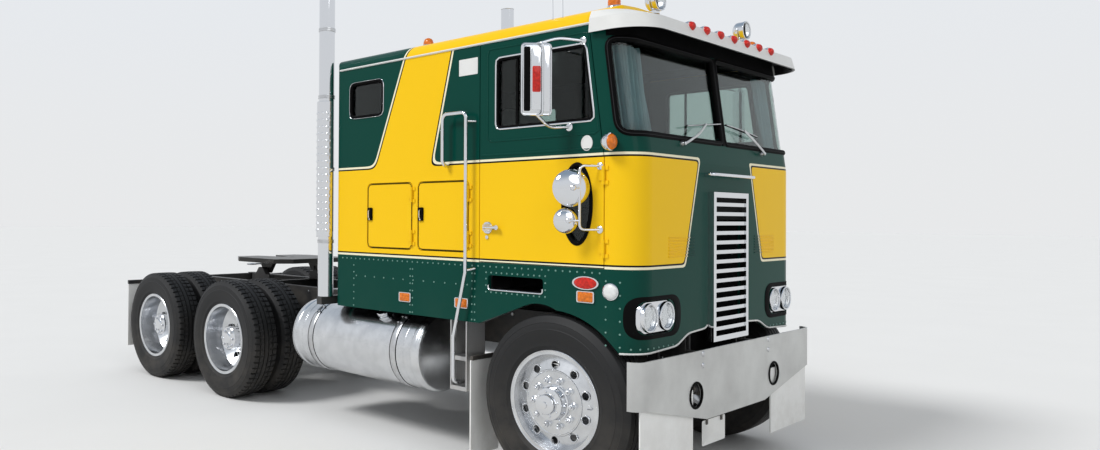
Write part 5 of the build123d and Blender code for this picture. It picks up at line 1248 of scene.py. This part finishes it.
def curtain_grid():
    """Cloth gathered on a rail: its distance from the skin is a sum of two sines along it, deeper lower down."""
    s, z = np.meshgrid(np.linspace(*CURTAIN_SPAN, 260), np.linspace(*CURTAIN_Z, 24))
    down = (CURTAIN_Z[1] - z) / (CURTAIN_Z[1] - CURTAIN_Z[0])
    phase = 2 * math.pi * s / FOLD
    depth = (0.018 + 0.004 * down) * np.sin(phase + 0.7 * np.sin(3.1 * down + 9 * s))
    depth = depth + 0.0035 * np.sin(phase * 0.43 + 2 * down)
    places, ways = on_skin(s, z)
    return places + ways * (CURTAIN_IN + depth)[..., None]


curtain = curtain_grid()
rail_s = np.linspace(CURTAIN_SPAN[0] - 0.30, CURTAIN_SPAN[1] + 0.012, 30)
curtain_rail = tube(on_skin(rail_s, 0 * rail_s + CURTAIN_Z[1] + 0.004, CURTAIN_IN)[0], 0.006, 10)
for side, sign in SIDES:
    rail, cloth = (shape if sign < 0 else mirrored(shape) for shape in (curtain_rail, grid_shape(curtain)))
    rail = make("curtain_rail_" + side, rail, "cab", TRIM)
    cloth = make("curtain_" + side, cloth, "cab", CURTAIN_CLOTH, smooth=80)

PULL = 0.018


def power(value, exponent):
    return np.sign(value) * np.abs(value) ** exponent


def pad_shape(half, centre, channels=0, depth=0.008, square=0.30, edge=0.42, waves=0.0, axes=np.eye(3)):
    """A crowned closed pad: a rounded block (powers of cosines and sines of two angles), channelled along its length.

    Each channel lowers the upper face by depth times exp(-(distance / 0.009)^2); waves adds low ripples.
    """
    tilt = np.linspace(-math.pi / 2, math.pi / 2, 45)[:, None]
    turn = np.linspace(0, 2 * math.pi, 128, endpoint=False)[None]
    x = power(np.cos(tilt), edge) * power(np.cos(turn), square)
    y = power(np.cos(tilt), edge) * power(np.sin(turn), square)
    z = power(np.sin(tilt), edge) + 0 * turn
    pulled = 1 - PULL * (1 - np.clip(np.abs(x), 0, 1) ** 2) * np.abs(y) ** 6
    px, py, pz = x * half[0], y * half[1] * pulled, z * half[2]
    upper = np.clip(z, 0, 1) ** 0.5
    if channels:
        pitch = 2 * half[1] / (channels + 1)
        away = np.abs((py + half[1]) / pitch - np.round((py + half[1]) / pitch)) * pitch
        inner = np.clip(1.05 - np.abs(x) ** 4, 0, 1) * (np.abs(py) < half[1] - 0.4 * pitch)
        pz = pz - depth * np.exp(-(away / 0.009) ** 2) * upper * inner
        px = px * (1 - 0.012 * np.exp(-(away / 0.012) ** 2) * (np.abs(x) > 0.8))
    ripples = 1 + np.sin(9.0 * px / half[0] + 2.0 * py / half[1]) * np.cos(7.0 * py / half[1])
    pz = pz - waves * upper * ripples / 2
    return grid_shape(np.stack([px, py, pz], -1) @ axes.T + centre, close_columns=True)


def piping(half, centre, level, square=0.30, axes=np.eye(3)):
    """The sewn cord round a pad's edge: the pad's own outline at one level, as a thin closed tube."""
    t = np.linspace(0, 2 * math.pi, 120, endpoint=False)
    x, y = power(np.cos(t), square), power(np.sin(t), square)
    y = y * (1 - PULL * (1 - np.abs(x) ** 2) * np.abs(y) ** 6)
    points = np.stack([x * half[0] * 0.985, y * half[1] * 0.985, 0 * t + level], -1)
    return tube(dense(points @ axes.T + centre, 0.02, closed=True), 0.004, 8, closed=True)


REST_UP = unit(np.array((-0.100, 0, 0.740)))
REST_AXES = np.stack([REST_UP, (0, -1, 0), np.cross(REST_UP, (0, -1, 0))], 1)
CUSHION, REST = (0.250, 0.250, 0.070), (0.372, 0.250, 0.046)
for side, sign in SIDES:
    y = sign * 0.680
    cushion_at, rest_at = at(-0.230, y, 1.670), at(-0.572, y, 2.070)
    rest = pad_shape(REST, rest_at, channels=4, depth=0.006, axes=REST_AXES)
    cords = together([piping(CUSHION, cushion_at, 0.046), piping(REST, rest_at, 0.028, axes=REST_AXES)])
    cushion = make("seat_cushion_" + side, pad_shape(CUSHION, cushion_at, channels=4), "cab", VINYL, "seats", smooth=60)
    rest = make("seat_back_" + side, rest, "cab", VINYL, "seats", smooth=60)
    make("seat_piping_" + side, cords, "cab", SEAL)
    hinge = slab(at(-0.540, y - 0.150, 1.640), at(-0.420, y + 0.150, 1.716), 0.006)
    make("seat_hinge_" + side, hinge, "cab", TRIM, "seats")
bunk_half, bunk_at = (high("bunk") - low("bunk")) / 2, middle("bunk")
mattress = pad_shape(bunk_half, bunk_at, square=0.16, edge=0.30, waves=0.010)
mattress = make("mattress", mattress, "cab", BUNK_CLOTH, "bunk", smooth=60)
cords = [piping(bunk_half, bunk_at, level, square=0.16) for level in (-0.050, 0.050)]
make("mattress_piping", together(cords), "cab", BUNK_CLOTH)

# Back of the cab: pressed ribs, rivets, a work lamp, the coupling box and a grab bar

BAR_Y, BAR_Z, CUP_Z = -0.950, (1.560, 2.320), 1.630


def from_back(x, y, z):
    """A place on the flat rear wall, or x ahead of it."""
    return np.array((CAB_BACK + x, y, z), float)


def back_ribs():
    ribs = [([from_back(0, y, 1.470), from_back(0, y, 2.740)], 0.034, 0.007) for y in (-0.840, -0.420, 0.420, 0.840)]
    ribs.append(([from_back(0, -1.010, 2.030), from_back(0, 1.010, 2.030)], 0.022, 0.005))
    return together([bead(dense(ends, 0.2), BACK_WAY, width, height) for ends, width, height in ribs])


def back_rivets():
    places = [(y, z) for y in (-1.035, -0.630, 0.0, 0.630, 1.035) for z in np.arange(1.430, 2.800, 0.085)]
    places += [(y, z) for z in (1.412, 2.800) for y in np.arange(-0.980, 0.990, 0.085)]
    return domes_at([from_back(0, *place) for place in places], BACK_WAY, 0.0065, 0.0040)


def lamp_and_bar():
    """The work lamp on its stay, and a bent grab bar with a foot at each end."""
    can = [(0, 0.040), (0.030, 0.038), (0.050, 0.022), (0.056, 0.0), (0.058, -0.016), (0.061, -0.018), (0.061, -0.026),
           (0.055, -0.027), (0.052, -0.016), (0.034, 0.004), (0, 0.012)]
    stay = tube([WORK_LAMP + (0.048, 0, -0.030), WORK_LAMP + (0.010, 0, -0.050)], 0.011)
    ends = ((0.002, BAR_Z[0]), (-0.060, BAR_Z[0]), (-0.060, BAR_Z[1]), (0.002, BAR_Z[1]))
    bar = rod([from_back(x, BAR_Y, z) for x, z in ends], 0.035, 0.0115)
    feet = [turned(button(0.026, 0.001, -0.005, 0.016, -0.009), 24, "x", from_back(0, BAR_Y, z)) for z in BAR_Z]
    return together([turned(can, 40, "x", WORK_LAMP), stay, bar] + feet)


WORK_LAMP = from_back(-0.046, 0.0, 2.640)
work_glass = [(0, -0.020), (0.055, -0.020), (0.054, -0.024), (0.036, -0.030), (0, -0.032)]
cup = turned([(0, -0.020), (0.020, -0.020), (0.022, -0.050), (0.033, -0.052), (0.035, -0.058), (0.030, -0.064),
              (0.014, -0.064), (0.012, -0.056), (0, -0.056)], 28)
outer_cups = copies(cup, [from_back(0, y, CUP_Z) for y in (0.190, 0.370)])
make("back_ribs", back_ribs(), "cab", PAINT)
make("back_rivets", back_rivets(), "cab", RIVET_HEADS)
make("back_lamp_and_bar", lamp_and_bar(), "cab", CHROME)
make("back_lamp_lens", turned(work_glass, 40, "x", WORK_LAMP), "cab", CLEAR)
box = slab(from_back(-0.042, 0.130, 1.560), from_back(0.001, 0.430, 1.700), 0.008)
make("coupling_box", together([box, outer_cups]), "cab", FRAME_BLACK)
make("coupling_cup", moved(cup, from_back(0, 0.280, CUP_Z)), "cab", RED)

# Engine: rocker covers with their bolts, intake pipes and filler cap, seen when the cab is tilted

ENGINE_TOP, BANK_Y = 1.430, 0.205


def engine_pieces():
    """Six covers on the block's top; a pipe down the middle with a branch to each cover, and a filler cap."""
    covers, bolts, pipes = [], [], []
    for x, y in [(x, y) for x in (-0.440, -0.120, 0.200) for y in (-BANK_Y, BANK_Y)]:
        centre = at(x, y, ENGINE_TOP)
        covers += [slab(centre + (-0.135, -0.075, -0.002), centre + (0.135, 0.075, 0.012), 0.004),
                   slab(centre + (-0.122, -0.062, 0.010), centre + (0.122, 0.062, 0.058), 0.016)]
        bolts += [centre + (dx, dy, 0.012) for dx in (-0.124, 0.124) for dy in (-0.060, 0.060)]
        pipes.append(rod([centre - (0, 0.06 * y / BANK_Y, -0.030), at(x, y * 0.30, ENGINE_TOP + 0.045),
                          at(x, 0, ENGINE_TOP + 0.060)], 0.02, 0.024, 14))
    run = ((-0.540, 0.060), (0.270, 0.060), (0.330, 0.020), (0.330, -0.004))
    pipes.append(rod([at(x, 0, ENGINE_TOP + rise) for x, rise in run], 0.05, 0.042, 20))
    cap = [(0, 0.058), (0.026, 0.058), (0.026, 0.074), (0.034, 0.076), (0.034, 0.090), (0.030, 0.094), (0, 0.094)]
    pipes.append(turned(cap, 28, "z", at(-0.440, -BANK_Y, ENGINE_TOP)))
    return together(covers), together([copies(nut(0.010, 0.008, "z", 1), bolts)] + pipes)


engine_covers, engine_pipes = engine_pieces()
make("rocker_covers", engine_covers, "chassis", IRON)
make("intake_pipes", engine_pipes, "chassis", BRIGHT_STEEL)

# Camera, lamps and studio: the camera stands to the right of the front corner, as in the photograph

PHOTO, FOCAL_PX, CENTRE_PX = (1100, 450), 840, (381, 209)
CAMERA_AT = at(3.08, -5.42, 1.675)
YAW, PITCH, ROLL = (math.radians(a) for a in (47.26, 0.57, 0.36))
FLOOR_HALF = 120.0


def add_camera():
    data = bpy.data.cameras.new("camera")
    data.sensor_width, data.clip_end = 36, 400
    data.lens = data.sensor_width * FOCAL_PX / PHOTO[0]
    data.shift_x = (PHOTO[0] / 2 - CENTRE_PX[0]) / PHOTO[0]
    data.shift_y = (CENTRE_PX[1] - PHOTO[1] / 2) / PHOTO[0]
    ahead = Vector((-math.sin(YAW) * math.cos(PITCH), math.cos(YAW) * math.cos(PITCH), math.sin(PITCH)))
    flat = Vector((math.cos(YAW), math.sin(YAW), 0))
    up = flat.cross(ahead)
    right, top = flat * math.cos(ROLL) + up * math.sin(ROLL), up * math.cos(ROLL) - flat * math.sin(ROLL)
    camera = placed("camera", data)
    camera.matrix_world = Matrix.Translation(CAMERA_AT) @ Matrix((right, top, -ahead)).transposed().to_4x4()
    bpy.context.scene.camera = camera


def add_sun(name, source, strength, spread):
    """A far lamp in the given direction, whose disc is spread degrees wide, so that shadows are soft."""
    data = bpy.data.lights.new(name, "SUN")
    data.energy, data.angle = strength, math.radians(spread)
    placed(name, data).rotation_euler = Vector(source).to_track_quat("Z", "Y").to_euler()


def add_floor():
    mesh = bpy.data.meshes.new("floor")
    points, faces = grid_shape([[(x, y, 0) for y in (-FLOOR_HALF, FLOOR_HALF)] for x in (-FLOOR_HALF, FLOOR_HALF)])
    mesh.from_pydata(points.tolist(), [], faces.tolist())
    f = Finish("studio_floor", "frame_paint", (0.785, 0.785, 0.775), 0.9, specular=0.05)
    mesh.materials.append(f.mottled((0.765, 0.765, 0.755), 0.8, 0.4).grained(30.0, 0.1).material)
    placed("floor", mesh)


def add_surround():
    """A pale surround: rays that light things see a plain sky, and all others see the backdrop's colour."""
    world = bpy.data.worlds.new("studio")
    bpy.context.scene.world = world
    world.use_nodes = True
    g, surround = Graph(world.node_tree), world.node_tree.nodes["Background"]
    rays = g.add("LightPath")
    seen = g.math("MAXIMUM", rays["Is Camera Ray"], rays["Is Transmission Ray"])
    seen = g.math("MAXIMUM", seen, rays["Is Glossy Ray"])
    height = g.parts(g.add("TexCoord")["Generated"])[2]
    sky = g.mix(g.ramp(height, -0.05, 0.5), (0.55, 0.56, 0.58, 1), (0.86, 0.89, 0.93, 1))
    backdrop = g.mix(g.ramp(height, 0.0, 0.35), (0.805, 0.815, 0.825, 1), (0.79, 0.82, 0.86, 1))
    backdrop = g.mix(g.ramp(height, 0.35, 0.95), backdrop, (0.30, 0.38, 0.48, 1))
    g.feed(surround.inputs["Color"], g.mix(seen, sky, backdrop))
    g.feed(surround.inputs["Strength"], g.math("MULTIPLY_ADD", seen, 0.40, 0.60))


add_camera()
add_floor()
add_surround()
add_sun("sun", (-0.35, -0.95, 1.05), 2.0, 18)
add_sun("fill", (1.0, -0.25, 0.7), 0.45, 40)
bpy.context.scene.view_settings.view_transform = "Standard"
